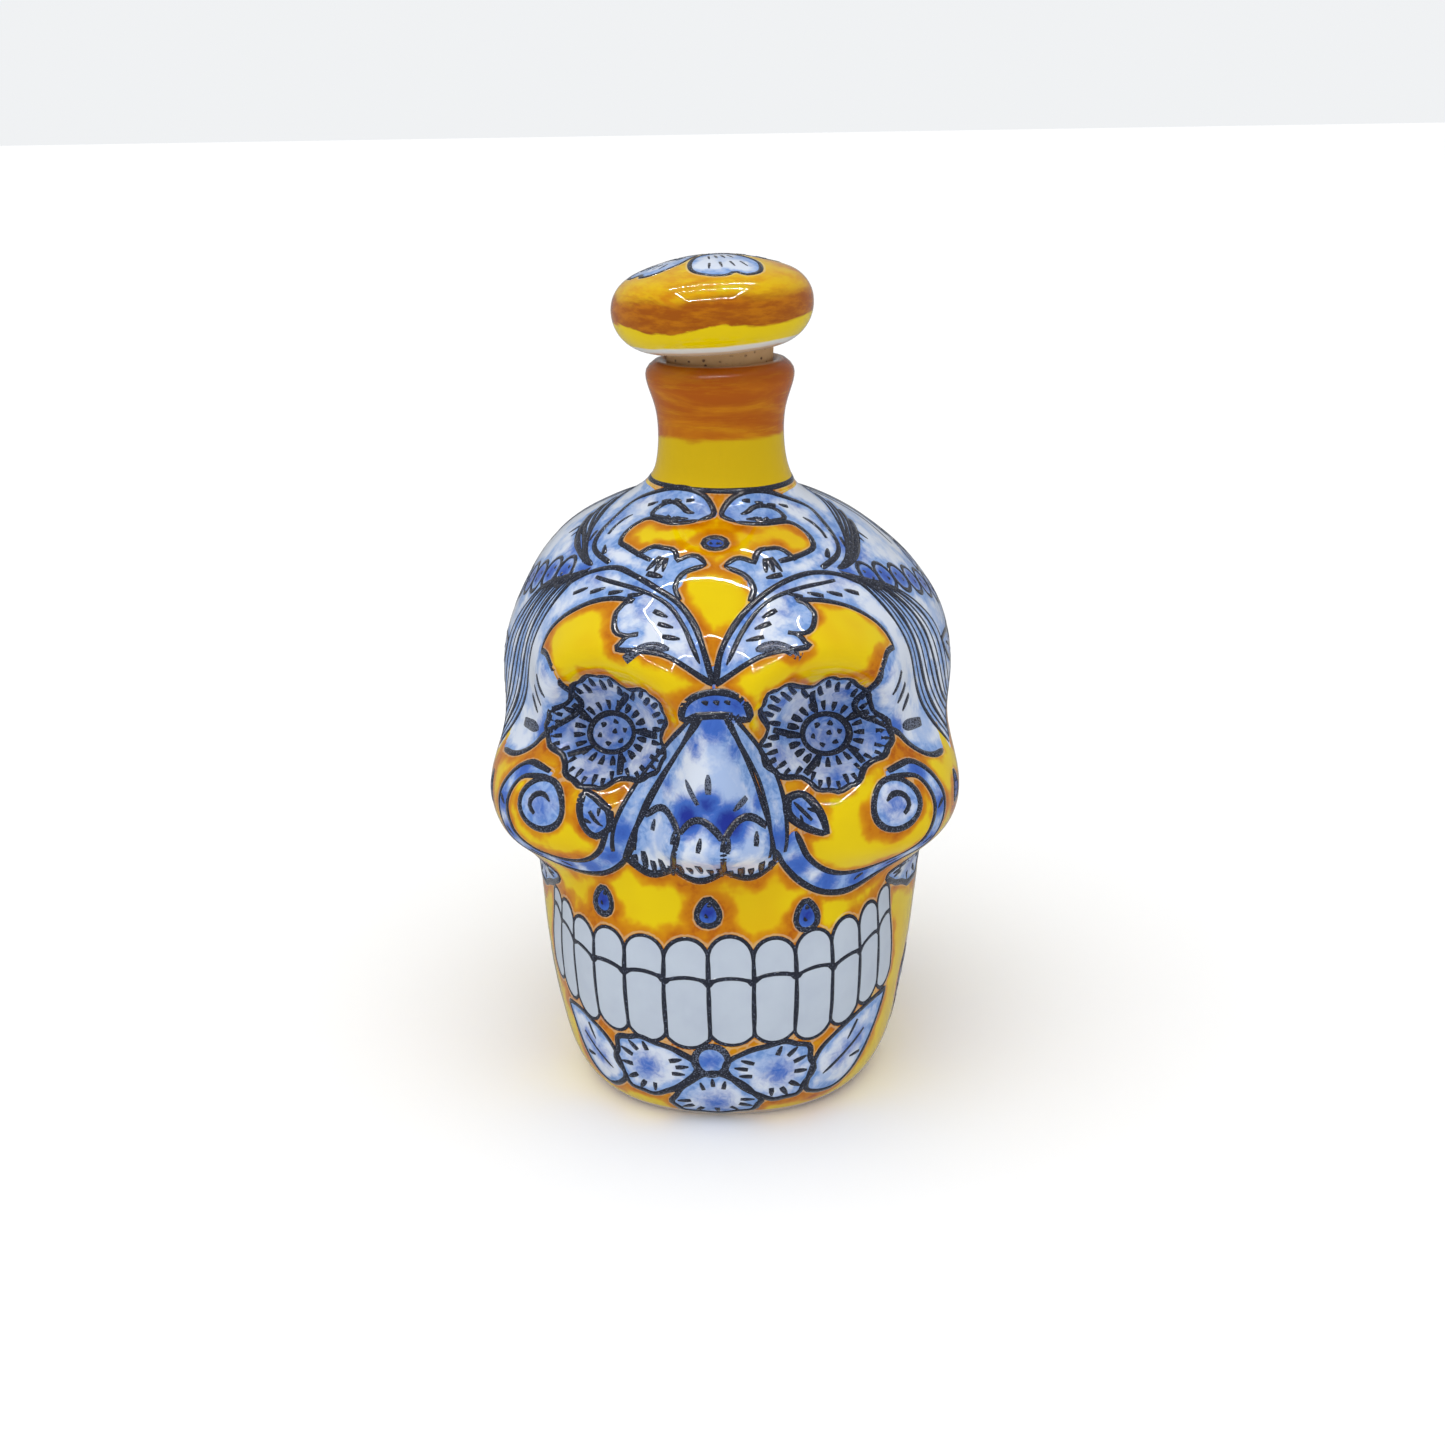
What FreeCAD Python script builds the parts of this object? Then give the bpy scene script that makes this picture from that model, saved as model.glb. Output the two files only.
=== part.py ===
# Skull-shaped ceramic decanter with a glued ceramic-and-cork stopper.
# Millimetres, +Z up, the face looks along -Y.  The origin is under the middle of the bounding box,
# on the plane the foot stands on.
import FreeCAD, Part
import math
import os
import Sketcher

V = FreeCAD.Vector
doc = FreeCAD.newDocument("SkullDecanter")
sheet = doc.addObject("Spreadsheet::Sheet", "sheet")

# ---------------------------------------------------------------- driving dimensions

SIZES = {
    # neck and stopper
    "lip_top": 191.3,
    "bore_floor": 166.0,
    "cork_floor": 168.0,
    "cork_shoulder": 194.0,
    "cork_top": 200.0,
    "cork_radius": 13.9,
    "cork_taper": 1.6,
    "cork_chamfer": 1.0,
    "cork_clearance": 0.06,
    "mouth_flare": 1.1,
    "glue_thickness": 0.3,
    "glue_start": 196.4,
    "cap_radius": 26.0,
    "cap_lower_round": 10.5,
    "cap_upper_round": 9.3,
    "cap_dome_radius": 50.0,
    "cap_centre_height": 204.6,
    "cap_offset": -1.7,
    "cap_tilt": -3.0,
    # hollow casting
    "wall": 5.0,
    "floor_thickness": 7.0,
    "throat_radius": 11.6,
    "recess_depth": 1.6,
    "recess_length": 38.0,
    "recess_width": 30.0,
    # eye sockets and the brow arches over them
    "socket_offset": 26.5,
    "socket_height": 107.5,
    "socket_half_width": 17.3,
    "socket_half_height": 16.0,
    "socket_depth": 14.5,
    "brow_ring": 1.36,
    "brow_spread": 0.34,
    "brow_relief": 6.0,
    # cheekbones, and the arches that run back from them
    "cheek_offset": 40.0,
    "cheek_height": 83.5,
    "cheek_half_width": 19.0,
    "cheek_rise": 12.0,
    "cheek_drop": 14.0,
    "cheek_relief": 9.8,
    "arch_middle": -24.0,
    "arch_half_length": 30.0,
    "arch_height": 76.0,
    "arch_rise": 20.0,
    "arch_drop": 12.5,
    "arch_relief": 8.6,
    # nose
    "nose_root": 115.0,
    "nose_length": 34.0,
    "nose_root_half": 3.6,
    "nose_flare": 13.5,
    "nose_root_relief": 5.0,
    "nose_gain": 9.0,
    "nostril_offset": 5.2,
    "nostril_height": 88.5,
    "nostril_size": 4.8,
    "nostril_depth": 4.0,
    # smaller swellings and hollows
    "teeth_height": 41.0,
    "teeth_half_height": 17.0,
    "teeth_relief": 2.0,
    "maxilla_offset": 46.0,
    "maxilla_height": 61.0,
    "maxilla_depth": 3.5,
    "temple_middle": -24.0,
    "temple_height": 113.0,
    "temple_depth": 4.0,
    "jaw_middle": -25.0,
    "jaw_height": 55.0,
    "jaw_depth": 2.0,
    "dome_height": 149.0,
    "dome_lean": -2.4,
}

# Level sections of the skull: height, half width, front, back, where it is widest,
# and how square it is in front and behind (2 is an ellipse).  Front and back are measured from the neck axis.
SECTIONS = {
    "foot": (0.0, 38.0, -48.5, 46.0, -4.0, 2.3, 2.2),
    "foot_edge": (3.0, 41.3, -52.0, 51.0, -3.0, 2.3, 2.2),
    "chin_low": (10.0, 45.0, -56.0, 58.0, -1.0, 2.3, 2.2),
    "chin": (22.0, 48.0, -58.5, 66.0, 2.0, 2.3, 2.2),
    "lower_teeth": (36.0, 50.5, -59.5, 73.0, 5.0, 2.3, 2.2),
    "upper_teeth": (50.0, 52.5, -59.5, 79.0, 8.0, 2.3, 2.2),
    "maxilla": (64.0, 54.5, -58.0, 84.0, 11.0, 2.3, 2.2),
    "cheeks": (78.0, 57.0, -57.0, 87.5, 14.0, 2.2, 2.2),
    "orbits": (92.0, 59.3, -57.0, 89.5, 16.0, 2.2, 2.2),
    "temples": (106.0, 61.4, -58.0, 89.5, 17.0, 2.2, 2.2),
    "brow": (118.0, 59.8, -60.0, 86.0, 16.0, 2.2, 2.2),
    "forehead": (128.5, 55.0, -57.0, 79.0, 14.0, 2.15, 2.15),
    "crown": (138.0, 48.3, -49.5, 69.0, 11.0, 2.1, 2.1),
    "dome": (146.5, 39.6, -39.5, 55.0, 8.0, 2.0, 2.0),
    "dome_top": (152.5, 30.2, -29.5, 39.0, 4.0, 2.0, 2.0),
    "neck_fillet": (156.5, 22.6, -22.3, 24.5, 1.0, 2.0, 2.0),
}

# The neck is round about its axis: height and radius.
NECK = {
    "neck_base": (161.5, 18.1),
    "neck_waist": (170.0, 16.5),
    "neck_flare": (178.5, 16.9),
    "lip_under": (184.0, 18.7),
    "lip_widest": (187.7, 19.6),
    "lip_round": (190.3, 18.6),
    "lip_inner": (191.3, 16.2),
}

COLUMNS = ("height", "half_width", "front", "back", "widest", "square_front", "square_back")
ROUND_SQUARENESS = 2.0


def fill_sheet():
    """Write every driving dimension in the sheet, each in a cell with its own name."""
    cells = dict(SIZES)
    for name, numbers in SECTIONS.items():
        for column, number in zip(COLUMNS, numbers):
            cells[f"{name}_{column}"] = number
    for name, (height, radius) in NECK.items():
        cells[f"{name}_height"] = height
        cells[f"{name}_radius"] = radius
    for row, (alias, number) in enumerate(cells.items(), start=1):
        sheet.set(f"A{row}", alias)
        sheet.set(f"B{row}", str(number))
        sheet.setAlias(f"B{row}", alias)


fill_sheet()
doc.recompute()


def size(alias):
    return float(sheet.get(alias))


def read_sections():
    """All the level sections, bottom to top, as tuples in the order of COLUMNS."""
    sections = [tuple(size(f"{name}_{column}") for column in COLUMNS) for name in SECTIONS]
    for name in NECK:
        radius = size(f"{name}_radius")
        sections.append((size(f"{name}_height"), radius, -radius, radius, 0.0,
                         ROUND_SQUARENESS, ROUND_SQUARENESS))
    return sections


# ---------------------------------------------------------------- the form of the skull

def smooth_step(start, end, value):
    t = max(0.0, min(1.0, (value - start) / (end - start)))
    return t * t * (3.0 - 2.0 * t)


def bell(distance, power=2.0):
    return math.exp(-abs(distance) ** power)


def one_sided(value, rise, drop):
    """A distance from zero, scaled by one reach above and another below."""
    return value / (rise if value > 0 else drop)


def blend(sections, position):
    """The section at a place between two sections, on a smooth curve through all of them."""
    last = len(sections) - 1
    index = min(int(position), last - 1)
    t = position - index

    def at(k):
        if k < 0:
            return tuple(2 * a - b for a, b in zip(sections[0], sections[1]))
        if k > last:
            return tuple(2 * a - b for a, b in zip(sections[last], sections[last - 1]))
        return sections[k]

    quads = zip(at(index - 1), at(index), at(index + 1), at(index + 2))
    return tuple(0.5 * (2 * b + (c - a) * t + (2 * a - 5 * b + 4 * c - d) * t ** 2
                        + (3 * b - a - 3 * c + d) * t ** 3) for a, b, c, d in quads)


def outline_point(section, angle, inset=0.0):
    """A point of a level section: two half superellipses that meet where it is widest."""
    height, half_width, front, back, widest, square_front, square_back = section
    across = math.sin(angle)
    ahead = math.cos(angle)
    reach, squareness = (widest - front, square_front) if ahead >= 0 else (back - widest, square_back)
    radius = (abs(ahead / (reach - inset)) ** squareness
              + abs(across / (half_width - inset)) ** squareness) ** (-1.0 / squareness)
    return V(radius * across, widest - radius * ahead, height)


BROW_TAPER = (-0.25, 0.6)
BROW_INNER_FADE = (-2.0, 10.0)
SOCKET_WALL = (0.25, 1.14)
FACE_ONLY = (20.0, -10.0)
SIDE_ONLY = (30.0, 46.0)
MAXILLA_REACH = (17.0, 7.5)
TEMPLE_REACH = (15.0, 14.0)
JAW_REACH = (16.0, 10.0)
DOME_REACH = 13.0


def hollows(point, grow=0.0):
    """How far the sockets, maxilla, temples and jaw sink in.  The cavity uses them too, grown by the wall."""
    side = 1.0 if point.x >= 0 else -1.0
    across = abs(point.x)
    push = V(0, 0, 0)
    face = smooth_step(*FACE_ONLY, point.y)
    reach = math.hypot((across - size("socket_offset")) / (size("socket_half_width") + grow),
                       (point.z - size("socket_height")) / (size("socket_half_height") + grow))
    push.y += face * size("socket_depth") * (1.0 - smooth_step(*SOCKET_WALL, reach))
    reach = math.hypot((across - size("maxilla_offset")) / MAXILLA_REACH[0],
                       (point.z - size("maxilla_height")) / MAXILLA_REACH[1])
    push.y += face * size("maxilla_depth") * bell(reach)
    beside = smooth_step(*SIDE_ONLY, across)
    reach = math.hypot((point.y - size("temple_middle")) / TEMPLE_REACH[0],
                       (point.z - size("temple_height")) / TEMPLE_REACH[1])
    push.x -= side * beside * size("temple_depth") * bell(reach)
    reach = math.hypot((point.y - size("jaw_middle")) / JAW_REACH[0],
                       (point.z - size("jaw_height")) / JAW_REACH[1])
    push.x -= side * beside * size("jaw_depth") * bell(reach)
    push.x += size("dome_lean") * bell((point.z - size("dome_height")) / DOME_REACH)
    return push


def brow(point):
    across = (abs(point.x) - size("socket_offset")) / size("socket_half_width")
    above = (point.z - size("socket_height")) / size("socket_half_height")
    reach = math.hypot(across, above)
    upper = smooth_step(*BROW_TAPER, above / max(reach, 1e-6))
    crest = bell((reach - size("brow_ring")) / size("brow_spread"))
    return size("brow_relief") * crest * upper * smooth_step(*BROW_INNER_FADE, abs(point.x))


def cheekbone(point):
    across = (abs(point.x) - size("cheek_offset")) / size("cheek_half_width")
    above = one_sided(point.z - size("cheek_height"), size("cheek_rise"), size("cheek_drop"))
    return size("cheek_relief") * bell(math.hypot(across, above), 4.0)


def cheek_arch(point):
    along = (point.y - size("arch_middle")) / size("arch_half_length")
    above = one_sided(point.z - size("arch_height"), size("arch_rise"), size("arch_drop"))
    return size("arch_relief") * bell(math.hypot(along, above), 3.2) * smooth_step(*SIDE_ONLY, abs(point.x))


def nose(point):
    """A ridge that widens and rises downwards, with two shallow nostrils above its lower end."""
    down = (size("nose_root") - point.z) / size("nose_length")
    share = max(0.0, min(1.0, down))
    half = size("nose_root_half") + size("nose_flare") * share
    ridge = max(0.0, 1.0 - (abs(point.x) / half) ** 2.2) ** 0.75
    relief = size("nose_root_relief") + size("nose_gain") * share
    ends = smooth_step(-0.15, 0.12, down) * (1.0 - smooth_step(0.98, 1.32, down))
    reach = math.hypot(abs(point.x) - size("nostril_offset"), point.z - size("nostril_height"))
    return relief * ridge * ends - size("nostril_depth") * bell(reach / size("nostril_size"))


def teeth_row(point):
    level = bell((point.z - size("teeth_height")) / size("teeth_half_height"))
    return size("teeth_relief") * level * smooth_step(46.0, 30.0, abs(point.x))


def relief(point):
    """How far the face and cheekbones stand out from the level sections."""
    face = smooth_step(*FACE_ONLY, point.y)
    forward = brow(point) + cheekbone(point) + nose(point) + teeth_row(point)
    outward = math.copysign(cheek_arch(point), point.x)
    return V(outward, -face * forward, 0)


# ---------------------------------------------------------------- smooth closed skins

def row_positions(sections, pitch):
    """Places up the skin about one pitch apart, measured along its side."""
    positions = [0.0]
    for index in range(len(sections) - 1):
        rise = sections[index + 1][0] - sections[index][0]
        spread = sections[index + 1][1] - sections[index][1]
        steps = max(2, round(math.hypot(rise, spread) / pitch))
        positions += [index + (k + 1) / steps for k in range(steps)]
    return positions


def skin_solid(rows):
    """A solid inside one smooth skin, closed round and clamped at its two flat ends.

    rows are level rings of control points, bottom to top, all with the same number of points."""
    degree = 3
    around = len(rows[0])
    up = len(rows)
    poles = [[row[k] for row in rows] for k in range(around)]
    around_knots = [float(k) for k in range(around + 1)]
    up_knots = [float(k) for k in range(up - degree + 1)]
    up_mults = [degree + 1] + [1] * (len(up_knots) - 2) + [degree + 1]
    surface = Part.BSplineSurface()
    surface.buildFromPolesMultsKnots(poles, [1] * (around + 1), up_mults, around_knots, up_knots,
                                     True, False, degree, degree)
    skin = surface.toShape()
    faces = [skin]
    for edge in skin.Edges:
        box = edge.BoundBox
        if box.ZLength < 1e-4 and box.XLength > 1.0:
            faces.append(Part.Face(Part.Wire([edge])))
    shell = Part.Shell(faces)
    shell.sewShape()
    solid = Part.Solid(shell)
    if solid.Volume < 0:
        solid.reverse()
    return solid


def ring(section, around, place):
    return [place(section, 2.0 * math.pi * k / around) for k in range(around)]


def outer_point(section, angle):
    point = outline_point(section, angle)
    if section[0] >= size("neck_base_height"):
        return point
    return point + hollows(point) + relief(point)


def inner_point(section, angle):
    """The wall is inset sideways, and under the sloping dome it is inset downwards too."""
    point = outline_point(section, angle, size("wall"))
    point += hollows(point, grow=0.6 * size("wall"))
    point.z -= size("wall") * smooth_step(size("brow_height"), size("dome_top_height"), section[0])
    return point


OUTER_PITCH = 2.8
OUTER_AROUND = 140
INNER_PITCH = 5.0
INNER_AROUND = 72


def skull_form():
    sections = read_sections()
    return skin_solid([ring(blend(sections, position), OUTER_AROUND, outer_point)
                       for position in row_positions(sections, OUTER_PITCH)])


def cavity_form():
    """The space inside: it follows the outside a wall's thickness in, from the floor to the throat."""
    sections = read_sections()
    rows = []
    for position in row_positions(sections, INNER_PITCH):
        section = blend(sections, position)
        if section[0] < size("floor_thickness"):
            continue
        if section[0] > size("neck_fillet_height"):
            break
        rows.append(ring(section, INNER_AROUND, inner_point))
    floor = [V(point.x * 0.9, point.y * 0.9, size("floor_thickness")) for point in rows[0]]
    throat = (size("bore_floor") + 0.5, size("throat_radius"), -size("throat_radius"),
              size("throat_radius"), 0.0, ROUND_SQUARENESS, ROUND_SQUARENESS)
    neck = [ring((height,) + throat[1:], INNER_AROUND, outline_point)
            for height in (size("neck_base_height"), throat[0])]
    return skin_solid([floor] + rows + neck)


def feature(name, shape):
    """A document object for a shape that no parametric primitive makes."""
    item = doc.addObject("Part::Feature", name)
    item.Shape = shape
    return item


# The neck axis is set back from the face so that the origin falls under the middle of the bounding box.
skin = skull_form()
axis_x = -(skin.BoundBox.XMin + skin.BoundBox.XMax) / 2.0
axis_y = -(skin.BoundBox.YMin + skin.BoundBox.YMax) / 2.0
axis_row = len(SIZES) + len(SECTIONS) * len(COLUMNS) + len(NECK) * 2 + 1
for row, alias, number in ((axis_row, "axis_x", axis_x), (axis_row + 1, "axis_y", axis_y)):
    sheet.set(f"A{row}", alias)
    sheet.set(f"B{row}", f"{number:.4f}")
    sheet.setAlias(f"B{row}", alias)
doc.recompute()


def stand_on_axis(item, height="0"):
    """Place an item on the neck axis, its own zero at the given height."""
    item.setExpression(".Placement.Base.x", "sheet.axis_x")
    item.setExpression(".Placement.Base.y", "sheet.axis_y")
    item.setExpression(".Placement.Base.z", height)


def primitive(kind, name, height, **sizes):
    item = doc.addObject(kind, name)
    for prop, expression in sizes.items():
        item.setExpression(prop, expression)
    stand_on_axis(item, height)
    return item


def cut(name, base, tool):
    item = doc.addObject("Part::Cut", name)
    item.Base = base
    item.Tool = tool
    return item


# ---------------------------------------------------------------- the bottle

def make_bottle():
    outside = feature("skull_outside", skin)
    inside = feature("slip_cavity", cavity_form())
    for item in (outside, inside):
        stand_on_axis(item)
    bore = primitive("Part::Cone", "neck_bore", "sheet.bore_floor",
                     Height="sheet.lip_top - sheet.bore_floor + 1",
                     Radius1="sheet.cork_radius + sheet.cork_clearance"
                             " - sheet.cork_taper * (sheet.lip_top - sheet.bore_floor)"
                             " / (sheet.cork_shoulder - sheet.cork_floor)",
                     Radius2="sheet.cork_radius + sheet.cork_clearance"
                             " + sheet.cork_taper / (sheet.cork_shoulder - sheet.cork_floor)")
    flare = primitive("Part::Cone", "mouth_round", "sheet.lip_top - sheet.mouth_flare",
                      Height="2 * sheet.mouth_flare",
                      Radius1="sheet.cork_radius",
                      Radius2="sheet.cork_radius + 2 * sheet.mouth_flare")
    rim = doc.addObject("Part::Ellipse", "recess_rim")
    rim.setExpression("MajorRadius", "sheet.recess_length")
    rim.setExpression("MinorRadius", "sheet.recess_width")
    recess = doc.addObject("Part::Extrusion", "foot_recess")
    recess.Base = rim
    recess.DirMode = "Custom"
    recess.Dir = V(0, 0, 1)
    recess.Solid = True
    recess.setExpression("LengthFwd", "sheet.recess_depth")
    recess.Placement = FreeCAD.Placement(V(axis_x, axis_y, 0), FreeCAD.Rotation(V(0, 0, 1), 90))
    hollowed = cut("hollowed_casting", outside, inside)
    bored = cut("bored_casting", hollowed, bore)
    flared = cut("flared_casting", bored, flare)
    return cut("skull_bottle", flared, recess)


# ---------------------------------------------------------------- the stopper

def revolved_body(name, draw):
    """A PartDesign body made by one turned sketch, drawn in the XZ plane with the axis on its V axis."""
    body = doc.addObject("PartDesign::Body", name)
    sketch = body.newObject("Sketcher::SketchObject", f"{name}_profile")
    plane = next(item for item in body.Origin.OriginFeatures if item.Role == "XZ_Plane")
    sketch.AttachmentSupport = [(plane, "")]
    sketch.MapMode = "FlatFace"
    draw(sketch)
    turn = body.newObject("PartDesign::Revolution", f"{name}_turn")
    turn.Profile = sketch
    turn.ReferenceAxis = (sketch, ["V_Axis"])
    turn.Angle = 360.0
    body.Tip = turn
    return body


def bind(sketch, kind, expression, *where):
    """Add a dimension to a sketch and tie it to the sheet."""
    number = float(sketch.evalExpression(expression))
    index = sketch.addConstraint(Sketcher.Constraint(kind, *where, number))
    sketch.setExpression(f"Constraints[{index}]", expression)


START, END, CENTRE = 1, 2, 3
ORIGIN = (-1, 1)
VERTICAL_AXIS = -2


def line(sketch, start, end):
    return sketch.addGeometry(Part.LineSegment(V(*start, 0), V(*end, 0)), False)


def draw_cork(sketch):
    """Half of a plug: straight where it is glued in the cap, tapered below, its lower edge broken."""
    radius = size("cork_radius")
    low = size("cork_floor")
    top = size("cork_top") - low
    shoulder = size("cork_shoulder") - low
    foot = radius - size("cork_taper")
    edge = size("cork_chamfer")
    corners = [(0, 0), (foot - edge, 0), (foot, edge), (radius, shoulder), (radius, top), (0, top)]
    lines = [line(sketch, corners[k], corners[(k + 1) % len(corners)]) for k in range(len(corners))]
    for k, item in enumerate(lines):
        following = lines[(k + 1) % len(lines)]
        sketch.addConstraint(Sketcher.Constraint("Coincident", item, END, following, START))
    base, _, _, side, crown, spine = lines
    sketch.addConstraint(Sketcher.Constraint("Coincident", base, START, *ORIGIN))
    sketch.addConstraint(Sketcher.Constraint("Horizontal", base))
    sketch.addConstraint(Sketcher.Constraint("Horizontal", crown))
    sketch.addConstraint(Sketcher.Constraint("Vertical", side))
    sketch.addConstraint(Sketcher.Constraint("Vertical", spine))
    foot_radius = "sheet.cork_radius - sheet.cork_taper"
    bind(sketch, "DistanceX", f"{foot_radius} - sheet.cork_chamfer", *ORIGIN, base, END)
    bind(sketch, "DistanceX", foot_radius, *ORIGIN, lines[1], END)
    bind(sketch, "DistanceY", "sheet.cork_chamfer", *ORIGIN, lines[1], END)
    bind(sketch, "DistanceX", "sheet.cork_radius", *ORIGIN, side, START)
    bind(sketch, "DistanceY", "sheet.cork_shoulder - sheet.cork_floor", *ORIGIN, side, START)
    bind(sketch, "DistanceY", "sheet.cork_top - sheet.cork_floor", *ORIGIN, side, END)


def draw_cap(sketch):
    """Half of a cushion: flat below, a round rim and a low dome, each tangent to the next.

    The sketch's zero is at the height of the widest place."""
    radius = size("cap_radius")
    lower = size("cap_lower_round")
    upper = size("cap_upper_round")
    dome = size("cap_dome_radius")
    drop = math.sqrt((dome - upper) ** 2 - (radius - upper) ** 2)
    lean = math.atan2(drop, radius - upper)
    top = dome - drop
    base = line(sketch, (0, -lower), (radius - lower, -lower))
    under = sketch.addGeometry(Part.ArcOfCircle(Part.Circle(V(radius - lower, 0, 0), V(0, 0, 1), lower),
                                                -math.pi / 2, 0.0), False)
    over = sketch.addGeometry(Part.ArcOfCircle(Part.Circle(V(radius - upper, 0, 0), V(0, 0, 1), upper),
                                               0.0, lean), False)
    crown = sketch.addGeometry(Part.ArcOfCircle(Part.Circle(V(0, -drop, 0), V(0, 0, 1), dome),
                                                lean, math.pi / 2), False)
    spine = line(sketch, (0, top), (0, -lower))
    sketch.addConstraint(Sketcher.Constraint("Coincident", spine, END, base, START))
    sketch.addConstraint(Sketcher.Constraint("Coincident", crown, END, spine, START))
    sketch.addConstraint(Sketcher.Constraint("Tangent", base, END, under, START))
    sketch.addConstraint(Sketcher.Constraint("Tangent", under, END, over, START))
    sketch.addConstraint(Sketcher.Constraint("Tangent", over, END, crown, START))
    sketch.addConstraint(Sketcher.Constraint("Horizontal", base))
    sketch.addConstraint(Sketcher.Constraint("PointOnObject", spine, START, VERTICAL_AXIS))
    sketch.addConstraint(Sketcher.Constraint("PointOnObject", spine, END, VERTICAL_AXIS))
    sketch.addConstraint(Sketcher.Constraint("PointOnObject", crown, CENTRE, VERTICAL_AXIS))
    sketch.addConstraint(Sketcher.Constraint("Horizontal", under, CENTRE, under, END))
    bind(sketch, "Radius", "sheet.cap_lower_round", under)
    bind(sketch, "Radius", "sheet.cap_upper_round", over)
    bind(sketch, "Radius", "sheet.cap_dome_radius", crown)
    bind(sketch, "DistanceX", "sheet.cap_radius", *ORIGIN, under, END)
    bind(sketch, "DistanceY", "sheet.cap_lower_round", base, START, *ORIGIN)


def make_cork():
    cork = revolved_body("stopper_cork", draw_cork)
    stand_on_axis(cork, "sheet.cork_floor")
    return cork


def make_cap():
    """The cap leans to one side and sits a little off the neck axis; its socket is square to the cork."""
    form = revolved_body("cap_form", draw_cap)
    form.Placement.Rotation = FreeCAD.Rotation(V(0, 1, 0), size("cap_tilt"))
    stand_on_axis(form, "sheet.cap_centre_height")
    form.setExpression(".Placement.Base.x", "sheet.axis_x + sheet.cap_offset")
    socket = primitive("Part::Cylinder", "cap_socket", "sheet.cork_floor",
                       Radius="sheet.cork_radius + sheet.glue_thickness",
                       Height="sheet.cork_top - sheet.cork_floor + sheet.glue_thickness")
    return cut("stopper_cap", form, socket)


def make_adhesive():
    """The glue: a thin sleeve and a disc that fill the socket round the head of the cork."""
    bed = primitive("Part::Cylinder", "glue_bed", "sheet.glue_start",
                    Radius="sheet.cork_radius + sheet.glue_thickness",
                    Height="sheet.cork_top - sheet.glue_start + sheet.glue_thickness")
    head = primitive("Part::Cylinder", "cork_head", "sheet.glue_start",
                     Radius="sheet.cork_radius",
                     Height="sheet.cork_top - sheet.glue_start")
    return cut("cork_adhesive", bed, head)


# ---------------------------------------------------------------- write the pieces

pieces = [make_bottle(), make_cap(), make_cork(), make_adhesive()]
doc.recompute()
for item in doc.Objects:
    if "Invalid" in item.State or "Error" in item.State:
        raise RuntimeError(f"{item.Name} did not build: {item.State}")
for piece in pieces:
    piece.Label = piece.Name
    if piece.Shape.isNull() or not piece.Shape.isValid():
        raise RuntimeError(f"{piece.Name} has no valid shape")
os.makedirs("parts", exist_ok=True)
for piece in pieces:
    piece.Shape.exportStep(f"parts/{piece.Label}.step")
    box = piece.Shape.BoundBox
    print(f"{piece.Label}: {piece.Shape.Volume / 1000:.1f} cm3, "
          f"x {box.XMin:.2f} to {box.XMax:.2f}, y {box.YMin:.2f} to {box.YMax:.2f}, "
          f"z {box.ZMin:.2f} to {box.ZMax:.2f}, solids {len(piece.Shape.Solids)}")
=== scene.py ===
"""The looks of a hand-painted skull decanter: glazed paint, brushed outlines, cork, and a plain studio.

Places on the skull are given in degrees, as a painter would turn the piece: longitude from the middle of
the face towards the viewer's right, and latitude above the level of the eyes, both seen from a centre on the
neck axis.  Everything else is in metres, in the frame of the CAD model.
"""
import math

import bpy
import numpy as np
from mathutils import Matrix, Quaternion, Vector, noise
from mathutils.bvhtree import BVHTree
from mathutils.kdtree import KDTree


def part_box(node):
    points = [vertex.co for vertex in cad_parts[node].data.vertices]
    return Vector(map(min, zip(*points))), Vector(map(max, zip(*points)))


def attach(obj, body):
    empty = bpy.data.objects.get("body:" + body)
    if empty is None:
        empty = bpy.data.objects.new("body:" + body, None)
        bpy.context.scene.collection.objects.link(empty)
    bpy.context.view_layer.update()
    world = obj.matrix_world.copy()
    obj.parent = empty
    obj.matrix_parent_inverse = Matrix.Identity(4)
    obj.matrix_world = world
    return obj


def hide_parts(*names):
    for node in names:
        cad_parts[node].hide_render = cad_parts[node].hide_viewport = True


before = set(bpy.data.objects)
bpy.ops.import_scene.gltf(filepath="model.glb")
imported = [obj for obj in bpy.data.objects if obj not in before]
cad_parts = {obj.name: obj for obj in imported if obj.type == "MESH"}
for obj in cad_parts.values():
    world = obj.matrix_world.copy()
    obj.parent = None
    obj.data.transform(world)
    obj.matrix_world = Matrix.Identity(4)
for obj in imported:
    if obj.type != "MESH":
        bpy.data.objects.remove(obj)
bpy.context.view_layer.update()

MM = 0.001
FAR = 0.3
WIDEST_GAP = 14.0
bottle_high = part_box("skull_bottle")[1]
cork_low, cork_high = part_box("stopper_cork")
cap_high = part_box("stopper_cap")[1]
AXIS = (cork_low + cork_high) / 2
AXIS.z = 0.0


def above(height):
    return AXIS + Vector((0, 0, height))


EYE_LEVEL = 95 * MM
CENTRE = above(EYE_LEVEL)
NECK_LATITUDE = 74.0
RING_LATITUDE = 74.0
NECK_BASE = 161.2 * MM
LIP_TOP = bottle_high.z


# ------------ small helpers

def direction(longitude, latitude):
    lon = math.radians(longitude)
    lat = math.radians(latitude)
    return Vector((math.sin(lon) * math.cos(lat), -math.cos(lon) * math.cos(lat), math.sin(lat)))


def tree_of(mesh):
    corners = [v.co.copy() for v in mesh.vertices]
    return BVHTree.FromPolygons(corners, [tuple(p.vertices) for p in mesh.polygons])


def in_scene(name, data):
    item = bpy.data.objects.new(name, data)
    bpy.context.scene.collection.objects.link(item)
    return item


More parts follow.
